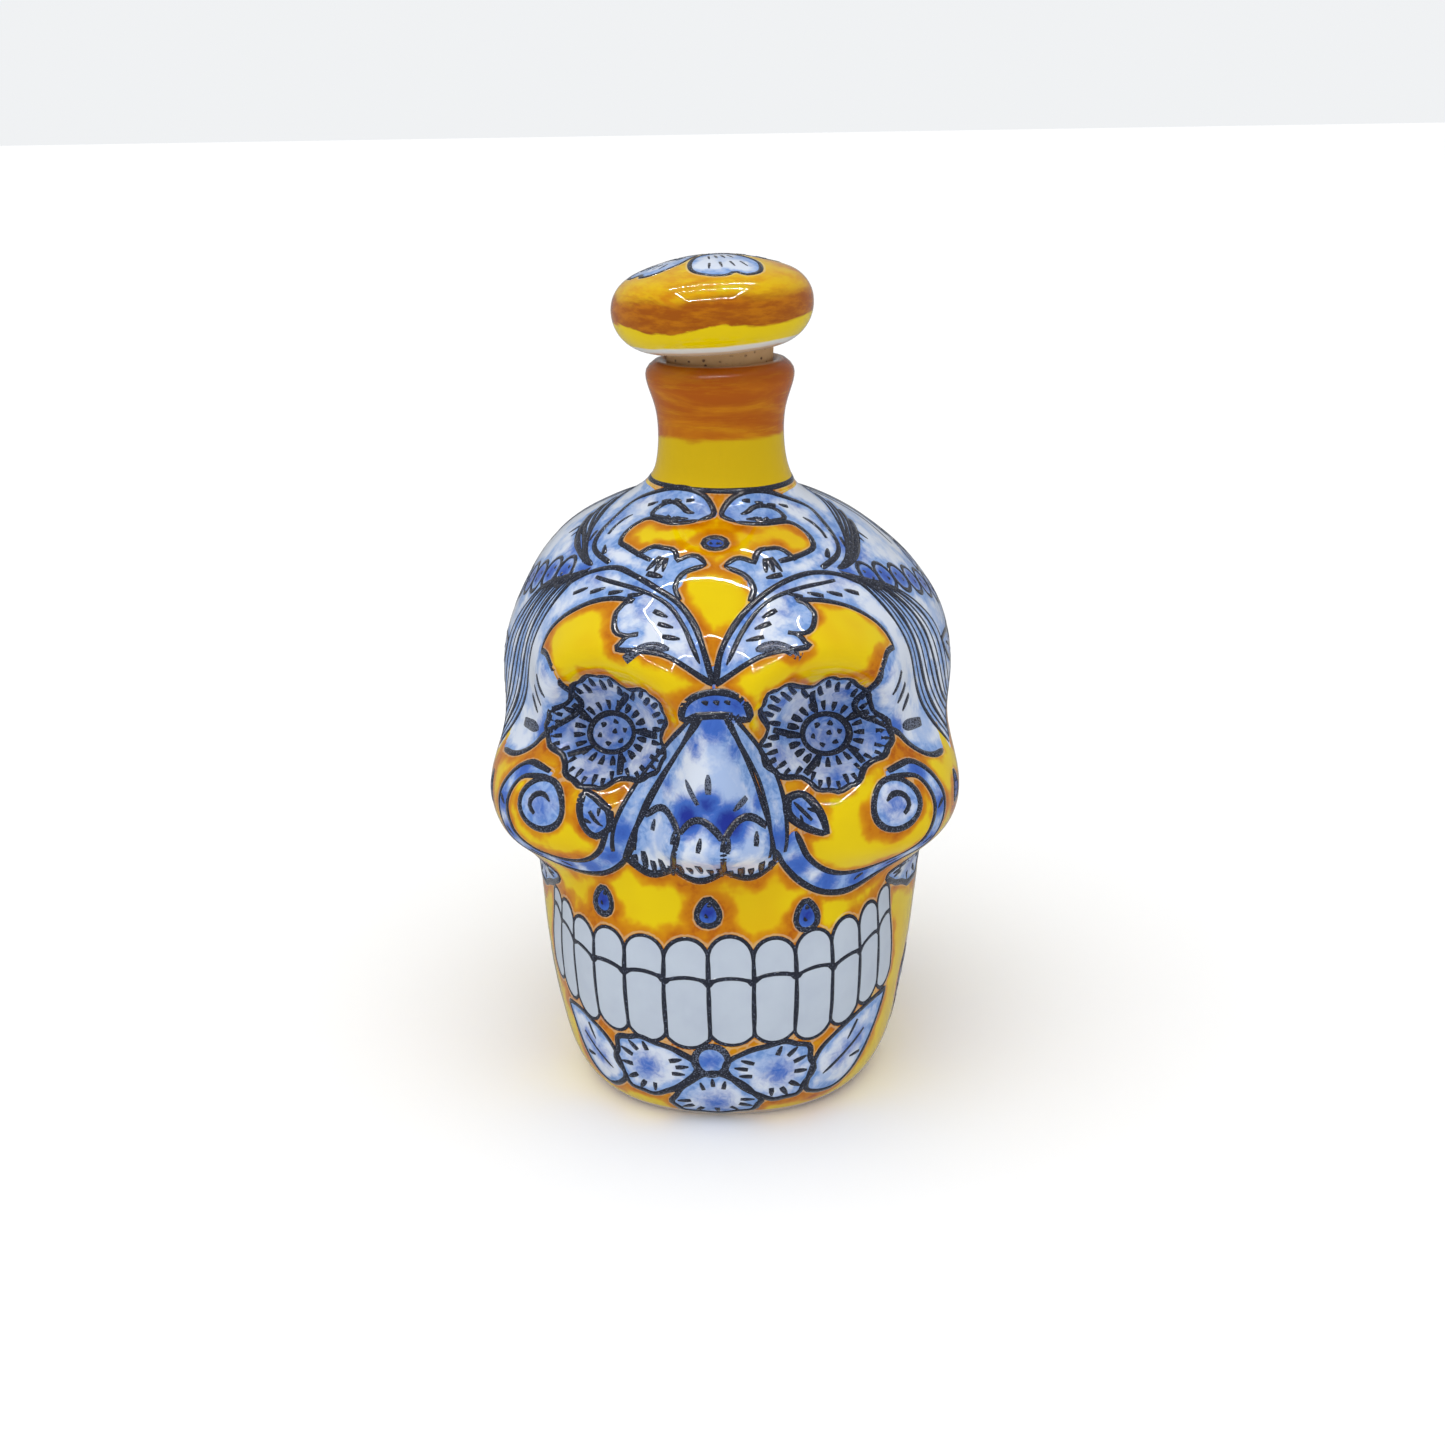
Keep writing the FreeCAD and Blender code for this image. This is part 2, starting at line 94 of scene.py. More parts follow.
def mesh_object(name, points, faces, smooth=True):
    mesh = bpy.data.meshes.new(name)
    mesh.from_pydata([tuple(p) for p in points], [], [tuple(int(i) for i in f) for f in faces])
    mesh.validate()
    mesh.polygons.foreach_set("use_smooth", [smooth] * len(mesh.polygons))
    mesh.update()
    return in_scene(name, mesh)


def grid_faces(rows, columns, start=0):
    """Quads between closed rings of points, ring after ring."""
    faces = []
    for j in range(rows - 1):
        for i in range(columns):
            k = (i + 1) % columns
            low = start + j * columns
            faces.append((low + i, low + k, low + columns + k, low + columns + i))
    return faces


def fan(ring_start, columns, centre, flip):
    ring = [(ring_start + i, ring_start + (i + 1) % columns) for i in range(columns)]
    return [(b, a, centre) if flip else (a, b, centre) for a, b in ring]


def places_of(item):
    return np.array([tuple(v.co) for v in item.data.vertices])


def nearest_gaps(points, edges):
    """How far each point is from the nearest edge line, in millimetres, up to a limit."""
    tree = KDTree(len(edges))
    for k, place in enumerate(edges):
        tree.insert(Vector(place), k)
    tree.balance()
    return np.array([min(tree.find(Vector(p))[2] / MM, WIDEST_GAP) for p in points])


def set_fields(mesh, **fields):
    """Keep numbers at each point of a mesh, for its material to read."""
    for name, values in fields.items():
        layer = mesh.attributes.new(name, "FLOAT", "POINT")
        layer.data.foreach_set("value", np.asarray(values, np.float32))


def spline(points, closed=False, steps=8):
    """A smooth line through points of any dimension."""
    p = np.asarray(points, float)
    n = len(p)
    if closed:
        get = lambda k: p[k % n]
    else:
        get = lambda k: 2 * p[0] - p[1] if k < 0 else (2 * p[-1] - p[-2] if k >= n else p[k])
    out = []
    for k in range(n if closed else n - 1):
        a, b, c, d = get(k - 1), get(k), get(k + 1), get(k + 2)
        for s in range(steps):
            t = s / steps
            out.append(0.5 * (2 * b + (c - a) * t + (2 * a - 5 * b + 4 * c - d) * t ** 2
                              + (3 * b - a - 3 * c + d) * t ** 3))
    if not closed:
        out.append(p[-1])
    return np.array(out)


# ------------ the painted shell

FRONT_HALF = 78.0
FRONT_COLUMNS = 190
BACK_COLUMNS = 136
LOWER_ROWS = 86
UPPER_ROWS = 82
NECK_ROWS = 27
LIP_ROUND = 1.3 * MM
BORE_FLOOR = 168 * MM
CAVITY_LEVELS = (164, 159, 156, 153, 150, 147, 144, 141, 138, 134, 129, 123, 116, 108, 100,
                 92, 84, 76, 67, 58, 49, 40, 31, 23, 16, 11, 8)


def column_longitudes():
    """Closer together over the face than behind."""
    face = np.linspace(-FRONT_HALF, FRONT_HALF, FRONT_COLUMNS, endpoint=False)
    behind = np.linspace(FRONT_HALF, 360.0 - FRONT_HALF, BACK_COLUMNS, endpoint=False)
    return np.concatenate([face, behind])


def sample_ring(tree, origin, latitude, outward):
    """A ring of points where rays round the neck axis meet the CAD surface, from outside or from within."""
    ring = []
    for lon in LONGITUDES:
        ray = direction(lon, latitude)
        if outward:
            hit = tree.ray_cast(origin, ray, FAR)[0]
        else:
            hit = tree.ray_cast(origin + ray * FAR, -ray, FAR)[0]
        ring.append(hit)
    return ring


def shell_rings(tree):
    """Rings from the foot over the outside to the lip, and down the inside to the floor."""
    rings = []
    for z in np.linspace(0.35 * MM, EYE_LEVEL, LOWER_ROWS, endpoint=False):
        rings.append(sample_ring(tree, above(z), 0.0, False))
    for lat in np.linspace(0.0, NECK_LATITUDE, UPPER_ROWS):
        rings.append(sample_ring(tree, CENTRE, lat, False))
    for z in np.linspace(NECK_BASE + 0.9 * MM, LIP_TOP - 0.3 * MM, NECK_ROWS):
        rings.append(sample_ring(tree, above(z), 0.0, False))
    outer_count = len(rings)
    mouth = sample_ring(tree, above(LIP_TOP - 2 * MM), 0.0, True)
    rings.append([p + (p - above(p.z)).normalized() * LIP_ROUND + Vector((0, 0, 2 * MM)) for p in mouth])
    bore = np.linspace(LIP_TOP - LIP_ROUND, BORE_FLOOR, 7)
    for z in list(bore) + [level * MM for level in CAVITY_LEVELS]:
        rings.append(sample_ring(tree, above(z), 0.0, True))
    return rings, outer_count


def ease_rings(points, passes, last):
    """Take the facets of the CAD mesh out of the outside by averaging each point with its neighbours."""
    for _ in range(passes):
        side = (np.roll(points, 1, axis=1) + np.roll(points, -1, axis=1)) / 2
        level = points.copy()
        level[1:last - 1] = (points[:last - 2] + points[2:last]) / 2
        change = (side + level) / 2 - points
        change[0] = 0
        change[last - 1:] = 0
        points = points + 0.5 * change
    return points


def underside(first_ring):
    """The foot ring, the step of its recess and the flat inside it."""
    foot = np.array(first_ring)
    foot[:, 2] = 0.0
    low = np.array(AXIS[:2])
    out = foot[:, :2] - low
    length = np.linalg.norm(out, axis=1, keepdims=True)
    unit = out / length
    reach = 1.0 / np.sqrt((unit[:, :1] / RECESS_HALF_WIDTH) ** 2 + (unit[:, 1:] / RECESS_HALF_LENGTH) ** 2)

    def ring(radius, height):
        flat = low + unit * radius
        return np.column_stack([flat, np.full(len(flat), height)])

    return [ring(length - 0.5 * MM, 0.0), ring(reach + 0.6 * MM, 0.0), ring(reach, 0.5 * MM),
            ring(reach - 0.6 * MM, RECESS_DEPTH), ring(reach * 0.5, RECESS_DEPTH)]


RECESS_HALF_WIDTH = 30 * MM
RECESS_HALF_LENGTH = 38 * MM
RECESS_DEPTH = 1.6 * MM
FLOOR_LEVEL = 7.2 * MM
LINE_ROOM = 0.12 * MM
LONGITUDES = column_longitudes()
COLUMNS = len(LONGITUDES)


def build_shell():
    """The whole bottle as one closed skin, finer than the CAD mesh, with the same shape.

    Its outside stays a hair within the CAD mesh, so that the raised brush lines do too.
    """
    tree = tree_of(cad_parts["skull_bottle"].data)
    rings, outer_count = shell_rings(tree)
    points = ease_rings(np.array([[tuple(p) for p in ring] for ring in rings]), 3, outer_count)
    outer = points[:outer_count, :, :2]
    away = outer - np.array(AXIS[:2])
    points[:outer_count, :, :2] -= LINE_ROOM * away / np.linalg.norm(away, axis=2, keepdims=True)
    below = underside(points[0])
    verts = points.reshape(-1, 3)
    faces = grid_faces(len(rings), COLUMNS)
    under_start = len(verts)
    verts = np.concatenate([verts] + below)
    for i in range(COLUMNS):
        k = (i + 1) % COLUMNS
        faces.append((k, i, under_start + i, under_start + k))
    for quad in grid_faces(len(below), COLUMNS, under_start):
        faces.append(quad[::-1])
    centre_under = len(verts)
    centre_floor = centre_under + 1
    verts = np.concatenate([verts, [[AXIS.x, AXIS.y, RECESS_DEPTH], [AXIS.x, AXIS.y, FLOOR_LEVEL]]])
    faces += fan(under_start + (len(below) - 1) * COLUMNS, COLUMNS, centre_under, True)
    faces += fan((len(rings) - 1) * COLUMNS, COLUMNS, centre_floor, False)
    shell = mesh_object("painted_skull", verts, faces)
    return shell, outer_count * COLUMNS


shell, OUTER_POINTS = build_shell()
skin = tree_of(shell.data)


def on_skull(longitude, latitude):
    """The place and the normal where the skull's outside lies in a direction from the centre."""
    ray = direction(longitude, latitude)
    place, normal, _, _ = skin.ray_cast(CENTRE + ray * FAR, -ray, FAR)
    return place, normal


# ------------ what is painted where
# A motif is a closed outline in degrees.  Later motifs lie over earlier ones.

motifs = []
strokes = []
deeps = []
COOL, WARM, TOOTH = "cool", "warm", "tooth"
OUTLINE = 1.45
HATCH = 1.1


def mirrored(points):
    """The other side, which no hand paints quite the same."""
    return [(-lon + 0.5 * math.sin(0.35 * lat), lat + 0.45 * math.sin(0.22 * lon)) for lon, lat in points]


def motif(points, tone, width=OUTLINE, smooth=True, both=False, dry=0.0):
    """A painted shape and, unless its width is 0, the line round it."""
    outline = spline(points, closed=True, steps=6) if smooth else np.array(points, float)
    motifs.append((outline, tone))
    if width:
        strokes.append(dict(path=outline, width=width, closed=True, edge=True, dry=dry))
    if both:
        motif(mirrored(points), tone, width, smooth, False, dry)


def stroke(points, width=OUTLINE, both=False, edge=True, dry=0.0):
    """An open line.  Edge lines shade the paint beside them, and hatching doesn't."""
    strokes.append(dict(path=spline(points), width=width, closed=False, edge=edge, dry=dry))
    if both:
        stroke(mirrored(points), width, False, edge, dry)


def mark(points, width=HATCH, both=False, dry=0.0):
    """A short line that leaves the paint beside it as it is."""
    stroke(points, width, both, False, dry)


def deep(longitude, latitude, radius, strength=1.0, both=False):
    """A pool of strong blue: its middle in degrees, and its radius in millimetres."""
    deeps.append((longitude, latitude, radius, strength))
    if both:
        deeps.append((-longitude, latitude, radius, strength))


def polar(centre, radii, angle, share=1.0):
    """A point of an oval about a centre, in degrees, with 0 to the right and 90 up."""
    a = math.radians(angle)
    return (centre[0] + radii[0] * share * math.cos(a), centre[1] + radii[1] * share * math.sin(a))


def oval(centre, radii, step=36):
    return [polar(centre, radii, angle) for angle in range(0, 360, step)]


def on_side(side, points):
    return [(side * lon, lat) for lon, lat in points]


def petal_share(angle, turn, petals):
    """How far a flower's rim reaches at an angle: notches between petals, and small scallops along them."""
    around = abs(math.cos(math.radians((angle - turn) * petals / 2)))
    return 0.75 + 0.25 * around ** 0.6 + 0.022 * math.cos(math.radians((angle - turn) * petals * 4))


def flat_chart(centre, facing):
    """A flat sheet of millimetres, square to a facing direction, laid over a place on the skull."""
    outward = direction(*facing)
    across = Vector((0, 0, 1)).cross(outward).normalized()
    upward = outward.cross(across)
    middle = on_skull(*centre)[0]

    def place(x, y):
        start = middle + (across * x + upward * y) * MM + outward * SHEET_GAP
        hit = skin.ray_cast(start, -outward, 2 * SHEET_GAP)[0]
        away = (hit if hit is not None else start) - CENTRE
        return (math.degrees(math.atan2(away.x, -away.y)), math.degrees(math.atan2(away.z, away.xy.length)))

    return place


SHEET_GAP = 60 * MM


def flower(centre, radius, facing, petals=5, turn=90.0, core=0.35, width=1.8, dashes=7, tall=1.0):
    """A round flower: scalloped petals with two rows of dashes, and a dotted middle in a ring."""
    sheet = flat_chart(centre, facing)

    def at(angle, share):
        a = math.radians(angle)
        place = sheet(radius * share * math.cos(a), radius * share * tall * math.sin(a))
        turns = round((centre[0] - place[0]) / 360.0)
        return (place[0] + 360.0 * turns, place[1])

    motif([at(a, petal_share(a, turn, petals)) for a in range(0, 360, 6)], COOL, width)
    motif([at(a, core) for a in range(0, 360, 30)], COOL, 1.9)
    for k in range(petals):
        notch = turn + 180.0 / petals + 360.0 * k / petals
        stroke([at(notch + 10, core), at(notch + 6, 0.5), at(notch, 0.76)], 1.9)
        for d in range(dashes):
            angle = notch + 360.0 / petals * (d + 1.0) / (dashes + 1.0)
            rim = petal_share(angle, turn, petals)
            mark([at(angle, rim * 0.96), at(angle, rim * (0.78 + 0.04 * (d % 2)))], 1.5)
            if d % 2 == 0:
                mark([at(angle, core * 1.18), at(angle, core * 1.66)], 1.8)
    for k in range(7):
        mark([at(k * 60.0, core * 0.55 * (k > 0)), at(k * 60.0 + 24.0, core * (0.62 if k else 0.22))], 1.7)
    deep(centre[0], centre[1], 0.3 * radius, 0.42)
    deep(centre[0], centre[1], 1.3 * radius, 0.36)
    for k in range(petals):
        lon, lat = at(turn + 360.0 * k / petals, 0.8)
        deep(lon, lat, 0.26 * radius, 0.46)


def edges(middle, half):
    """The two sides of a strip along a line in degrees.  Half widths are in degrees of latitude."""
    squeeze = np.cos(np.radians(middle[:, 1]))
    along = np.gradient(middle, axis=0)
    across = np.column_stack([-along[:, 1], along[:, 0] * squeeze])
    across /= np.linalg.norm(across, axis=1, keepdims=True)
    across[:, 0] /= squeeze
    return middle + across * half[:, None], middle - across * half[:, None]


def leaf(spine, half_width, turned=lambda points: points, width=1.6):
    """A leaf along a bent spine, pointed at both ends, with a midrib and short marks beside it."""
    middle = spline(spine)
    share = np.linspace(0.0, 1.0, len(middle))
    swell = half_width * np.maximum(np.sin(math.pi * share ** 0.8), 0.0) ** 0.75
    left, right = edges(middle, swell)
    motif(turned(list(left[::3]) + list(right[::-3])), COOL, width)
    mark(turned(middle[3:-3:4]), 1.1)
    for k in range(8, len(middle) - 8, 5):
        for side in (-1, 1):
            edge = left if side > 0 else right
            near = middle[k] + 0.35 * (edge[k] - middle[k])
            far = middle[k + 2] + 0.72 * (edge[k + 2] - middle[k + 2])
            mark(turned([near, far]), 1.3)
    for k in (6, len(middle) // 2, len(middle) - 7):
        lon, lat = turned([middle[k]])[0]
        deep(lon, lat, 4.5, 0.42)


def hatch_fan(start, end, inner, outer, count, width=HATCH, both=False):
    """Short marks between two lines, each given by its two ends."""
    for k in range(count):
        t = (k + 0.5) / count
        low = [(1 - t) * a + t * b for a, b in zip(start, end)]
        high = [(1 - t) * a + t * b for a, b in zip(inner, outer)]
        mark([low, high], width, both=both)


def arc(centre, radii, start, end, count=7):
    """Points along an oval about a centre, from one angle to another."""
    return [polar(centre, radii, start + (end - start) * k / (count - 1)) for k in range(count)]


def quarter(start, end):
    """A quarter of an oval between two places, upright where it starts and level where it ends."""
    return arc((end[0], start[1]), (start[0] - end[0], end[1] - start[1]), 0, 90)


def lobes(cusps, bulge, steps=6):
    """A line of round lobes between cusps, to the left of its run; bulge is their depth over their length."""
    line = []
    for (x0, y0), (x1, y1) in zip(cusps, cusps[1:]):
        for k in range(steps):
            t = k / steps
            push = bulge * math.sin(math.pi * t)
            line.append((x0 + (x1 - x0) * t - (y1 - y0) * push, y0 + (y1 - y0) * t + (x1 - x0) * push))
    return line + [cusps[-1]]


def teardrop(centre, wide, tall):
    """A drop with its narrow end up, with a dark middle and two short marks."""
    lon, lat = centre
    outline = []
    for angle in range(0, 360, 40):
        a = math.radians(angle)
        outline.append((lon + wide * math.cos(a) * (1.0 - 0.4 * math.sin(a)), lat + tall * math.sin(a)))
    motif(outline, COOL, 1.8, dry=0.2)
    deep(lon, lat, 4, 0.92)
    mark([(lon - 0.2, lat + 0.9), (lon + 0.6, lat + 1.3)], 1.5)
    mark([(lon - 0.8, lat - 0.9), (lon - 0.2, lat - 0.6)], 1.5)


def strip(spine, halves, tone=COOL, width=1.7, side=1):
    """A band along a bent spine, its half width changing evenly from each given value to the next."""
    middle = spline(spine)
    share = np.linspace(0.0, 1.0, len(middle))
    left, right = edges(middle, np.interp(share, np.linspace(0.0, 1.0, len(halves)), halves))
    motif(on_side(side, list(left) + list(right[::-1])), tone, 0, smooth=False)
    if width:
        for edge in (left, right):
            stroke(on_side(side, edge[::3]), width)


def petal(foot, tip, half_width, width=1.9, marks=5, dry=0.0):
    """A petal from its foot to its tip, scalloped round the end, with two fans of short marks."""
    squeeze = math.cos(math.radians((foot[1] + tip[1]) / 2))
    reach = Vector(((tip[0] - foot[0]) * squeeze, tip[1] - foot[1]))
    length = reach.length
    unit = reach / length

    def at(angle, share=1.0):
        a = math.radians(angle)
        along = length * (0.5 + 0.5 * share * math.cos(a))
        across = half_width * share * (0.72 + 0.28 * math.cos(a)) * math.sin(a)
        return (foot[0] + (unit.x * along - unit.y * across) / squeeze,
                foot[1] + unit.y * along + unit.x * across)

    def rim(angle):
        towards_tip = 0.5 + 0.5 * math.cos(math.radians(angle))
        return at(angle, 1.0 + 0.06 * towards_tip * math.cos(math.radians(9 * angle)))

    motif([rim(angle) for angle in range(0, 360, 10)], COOL, width, dry=dry)
    for k in range(marks):
        angle = 80.0 * (2.0 * k / (marks - 1) - 1.0)
        mark([at(angle, 0.88), at(angle, 0.56)], 1.7)
    for k in (-1, 0, 1):
        mark([at(180 + 32 * k, 0.8), at(180 + 40 * k, 0.5)], 1.5)
    lon, lat = at(0, 0.2)
    deep(lon, lat, 6, 0.46)


# Lines that two motifs share, built from ovals.
BROW_ROOT = (0.5, 24)
BROW_CREST = (36, 49)
TEMPLE_FOOT = (72, 4)
ORBIT_CORNER = (50, 27)
LEAF_START = (24, 42)
VOLUTE_UNDER = [(10, 66), (24, 65)] + arc((38, 60), (8, 5), 90, -90, 5) + [(24, 53), (9, 50)]
DROP_SIDE = arc((0, 46), (11, 18), 0, -90, 5)
BROW_TOP = quarter(BROW_ROOT, BROW_CREST) + quarter(TEMPLE_FOOT, BROW_CREST)[-2::-1]
ORBIT_RIM = lobes([(68, -2), (52, 6), (42, 23), ORBIT_CORNER], 0.15)
BROW_EDGE = quarter(ORBIT_CORNER, LEAF_START)
LEAF_CUSPS = [(LEAF_START[0] - 3 * k + 7 * (k % 2), LEAF_START[1] - 4 * k) for k in range(4)]
LEAF_TIPS = lobes(LEAF_CUSPS, 0.24) + [(11, 29), BROW_ROOT]
BROW_UNDER = BROW_EDGE + LEAF_TIPS[1:]


def paint_forehead():
    """Orange patches under the ring at the neck's foot, and a volute on each side of the middle."""
    collar = [(-180, 72.4), (-9, 72.4), (0, 68.4), (9, 72.4), (180, 72.4), (180, 88), (-180, 88)]
    motif(collar, WARM, 0, smooth=False)
    stroke([(lon, RING_LATITUDE) for lon in range(-180, 181, 10)], 1.5)
    top = [(2, 68.7), (12, 73), (40, 73.5), (66, 69)]
    motif(top + [(90, 60), (90, 50), (60, 48), (38, 51)] + VOLUTE_UNDER[6::-1], COOL, 0, both=True)
    stroke(VOLUTE_UNDER[:8], 1.7, both=True)
    stroke([VOLUTE_UNDER[0]] + top + [(64, 62), (56, 54), (40, 50)], 1.7, both=True)
    curl = arc((29, 67.5), (12, 3.2), 150, -30) + arc((29, 67), (7, 1.4), -60, -200, 5)
    stroke([(14, 68.5)] + curl, 1.7, both=True)
    for k in range(4):
        mark([(17 + 9 * k, 72.2 - 0.6 * k), (23 + 9 * k, 72 - 0.9 * k)], 1.6, both=True)
    hatch_fan((14, 67), (28, 66), (20, 66.7), (32, 66.8), 3, 1.6, both=True)
    mark(arc((50, 61), (6, 5), 60, -40, 4), 1.3, both=True)
    mark([(50, 55), (46, 52.5)], 1.7, both=True)
    pools = ((10, 70, 5), (30, 66.5, 4), (46, 51.5, 5), (61, 62, 6), (40, 72, 5), (58, 69, 4))
    for lon, lat, radius in pools:
        deep(lon, lat, radius, 0.28, both=True)


def paint_cartouche():
    """The yellow field between the volutes runs down into a drop above the nose."""
    half = VOLUTE_UNDER + DROP_SIDE
    motif([(0, 68)] + half + [(-lon, lat) for lon, lat in half[-2::-1]], WARM, 0, smooth=False)
    motif(oval((-0.5, 59), (5, 1.9), 40), COOL, 1.7)
    deep(-0.5, 59, 4.5, 0.75)
    for lon in (-2.4, 0.4, 1.8):
        mark([(lon - 0.5, 58.6), (lon + 0.5, 59)], 1.3)
    top = lobes([(3, 52), (14, 53), (22, 57), (31, 53)], 0.18)
    motif(top + [(26, 48), (12, 45), (10, 49.5)], COOL, 0, both=True)
    stroke(top, 1.7, both=True)
    stroke([(3, 52), (10, 49.5), (12.2, 46), (10.4, 42.4)], 1.7, both=True)
    hatch_fan((16, 50), (25, 50), (18, 54), (22, 54.5), 3, 1.6, both=True)
    mark([(17, 48.5), (23, 49.3)], 2.0, both=True)


def paint_leaves():
    """A leaf climbs from the root of the nose over each brow, and its rim becomes the temple's stream."""
    motif(BROW_TOP + ORBIT_RIM + BROW_UNDER, COOL, 0, both=True)
    stroke(BROW_TOP[:9], 1.8, both=True)
    stroke(BROW_UNDER, 1.7, both=True)
    mark([(10, 30.5), (15, 31), (20, 28)], 3.2, both=True, dry=0.8)
    mark([(3, 28), (8, 36), (15, 42), (26, 45), (42, 46)], 1.3, both=True)
    for k in range(3):
        lon = 8 + 2.5 * k
        lat = 33 + 2.6 * k
        mark([(lon, lat), (lon + 4.5, lat + 0.5 + 0.6 * k)], 1.7, both=True)
    for k in range(4):
        mark([(22 + 7 * k, 44 - 0.3 * k), (27 + 7 * k, 42.8 - 0.5 * k)], 1.6, both=True)
    for lon, lat, radius in ((3.4, 30, 6), (10, 39, 6), (22, 44.5, 6), (42, 46.5, 6), (20, 39.5, 4)):
        deep(lon, lat, radius, 0.34, both=True)


def paint_temples():
    """Hair-fine lines stream from a knot above the temple to its foot, past a string of beads."""
    for k in range(9):
        foot = 75 + 2.2 * k
        stroke([(47 + 1.2 * k, 48.4 - 0.5 * k), (53 + 2.0 * k, 42.8 - 0.4 * k), (59.5 + 2.9 * k, 27.5),
                (67 + 2.7 * k, max(10, ground_edge(foot) + 4)), (foot, ground_edge(foot) + 0.6)],
               HAIR_WIDTHS[k], both=True, edge=k % 3 == 1)
    for k in range(5):
        feather = [(47 + 1.5 * k, 49), (60 + 4 * k, 50.5 + 2.5 * k)]
        feather += [(74 + 6 * k, 54 + 3.2 * k), (90 + 5 * k, 58 + 3 * k)]
        stroke(feather, 2.0 - 0.25 * k, both=True, edge=k % 2 == 0)
    for k in range(5):
        lon = 103 + 9 * k
        stroke([(lon, 44), (lon + 5, 54), (lon + 7, 68)], 1.6 if k % 2 else 1.0, both=True, edge=k % 2 == 1)
    hatch_fan((58, 54), (86, 52), (62, 57), (84, 55), 5, 1.4, both=True)
    for k in range(6):
        lon = 60 + 9 * k
        lat = 45 - 1.5 * k - 0.35 * k * k
        motif(oval((lon, lat), (4.5, 4.0), 45), COOL, 1.5, both=True)
        deep(lon, lat, 3.4, 0.8, both=True)
        mark([(lon - 1.4, lat + 0.9), (lon - 0.8, lat + 1.6)], 1.4, both=True)
        mark([(lon + 0.4, lat - 1.4), (lon + 1.2, lat - 0.8)], 1.4, both=True)
    deep(63, 53, 7, 0.5, both=True)
    deep(50, 47, 4, 0.6, both=True)
    for side in (-1, 1):
        leaf(on_side(side, ((86, 21), (98, 16), (112, 19), (123, 28))), 4.0)
        leaf(on_side(side, ((103, 35), (113, 38), (124, 44), (134, 52))), 4.0)


def paint_orbits():
    """The pale rim on the outer side of each orbit, over a yellow band."""
    stroke(ORBIT_RIM, 1.8, both=True, dry=0.2)
    hatch_fan((46, 18), (56, 10), (50, 23), (60, 13), 3, 2.2, both=True)
    mark([(54, 7.5), (64, 6)], 3.0, both=True, dry=0.8)
    deep(50.5, 7, 5, 0.55, both=True)
    deep(45.5, 22, 4, 0.3, both=True)


def paint_brows():
    """The yellow ground of the brow, the orbit and the cheek, one side after the other."""
    outer = [(60, 12), TEMPLE_FOOT] + arc((38, -8), (37, 22), 0, -150) + [(0.5, 5)]
    motif(BROW_UNDER[::-1] + outer, WARM, 0, both=True, smooth=False)


def paint_eyes():
    flower((35.5, 8.5), 16.5, (-3, 18), turn=68.0, tall=0.87)
    flower((-35.5, 9), 17, (-3, 18), turn=104.0, tall=0.84)


NOSE_TOP, NOSE_BASE = 17.5, -18.5
NOSE_LEAN = -4.5


def beside_nose(side, share, out=0.0):
    """A place on one side of the nose, which widens and leans as it comes down."""
    half = 3.0 + 15.5 * share + (1.5 + out) * math.sin(math.pi * min(share, 1.0))
    return (NOSE_LEAN * share + side * half, NOSE_TOP + (NOSE_BASE - NOSE_TOP) * share)


NOSE_RIGHT = [beside_nose(1, k / 3) for k in range(4)]
NOSE_LEFT = [beside_nose(-1, k / 3) for k in range(4)]
NOSE_FEET = [(NOSE_LEAN + 18.5 * (2 * k / 3 - 1), NOSE_BASE - 1.8 * (k in (1, 2))) for k in range(4)]
NOSE_ARCHES = [(NOSE_LEAN + 1.5 + 14.5 * (2 * k / 3 - 1), -8.5) for k in range(4)]


def paint_nose():
    """A pale nose with strong blue in its root and its nostrils, over three short petals."""
    for side in (1, -1):
        wing = [beside_nose(side, k / 4, 3.5) for k in range(5)]
        strip(on_side(side, wing), (0.8, 1.8, 2.4, 2.2, 2.0), width=1.3, side=side)
    feet = lobes(NOSE_FEET, -0.25)
    motif(NOSE_RIGHT + feet[::-1] + NOSE_LEFT[::-1], COOL, 0, smooth=False)
    stroke(NOSE_RIGHT, 1.6)
    stroke(NOSE_LEFT, 1.6)
    stroke(feet, 2.2)
    stroke(lobes(NOSE_ARCHES, 0.32), 2.0, dry=0.3)
    for (top, high), (low, base) in zip(NOSE_ARCHES[1:3], NOSE_FEET[1:3]):
        stroke([(top, high), ((top + low) / 2, -14), (low, base)], 1.9)
    motif(arc((0.5, 16.5), (7.8, 6), 180, 0) + arc((0.5, 16.5), (6, 1), 0, 180, 5), COOL, 2.0)
    for lon in (-2, 0.5, 3):
        mark([(lon - 0.6, 20.4), (lon + 0.8, 20)], 1.5)
    for k in range(15):
        lon = -20.5 + 2.4 * k
        low = -20.6 - 1.8 * abs(math.sin(0.42 * k + 0.3))
        mark([(lon, low), (lon - 0.3, low + 3.4 + 1.6 * (k % 2))], 2.0, dry=0.3)
    for k in range(5):
        lon = -15 + 6 * k
        mark([(lon, -8.5), (lon - 0.4, -11)], 1.8, dry=0.4)
    for start, end in (((-6.5, 3), (-3.6, -2)), ((4, -3.5), (7, -1)), ((-1.2, 5), (-1.2, 0.8))):
        mark([start, end], 2.0, dry=0.9)
    pools = ((0, 20, 5.5, 0.72), (5, 19.4, 4.5, 0.7), (-4.4, 19, 4, 0.5), (-6, -5.5, 5, 1.0),
             (3, -6, 5, 1.15), (-1.5, -1.5, 4, 0.85), (0, 15, 5, 0.6), (-4.5, 10.5, 3.5, 0.5),
             (4.5, 10, 3.5, 0.5), (10, -3, 3, 0.55), (-12, 0, 3, 0.4), (14, -12, 4, 0.6))
    for pool in pools:
        deep(*pool)


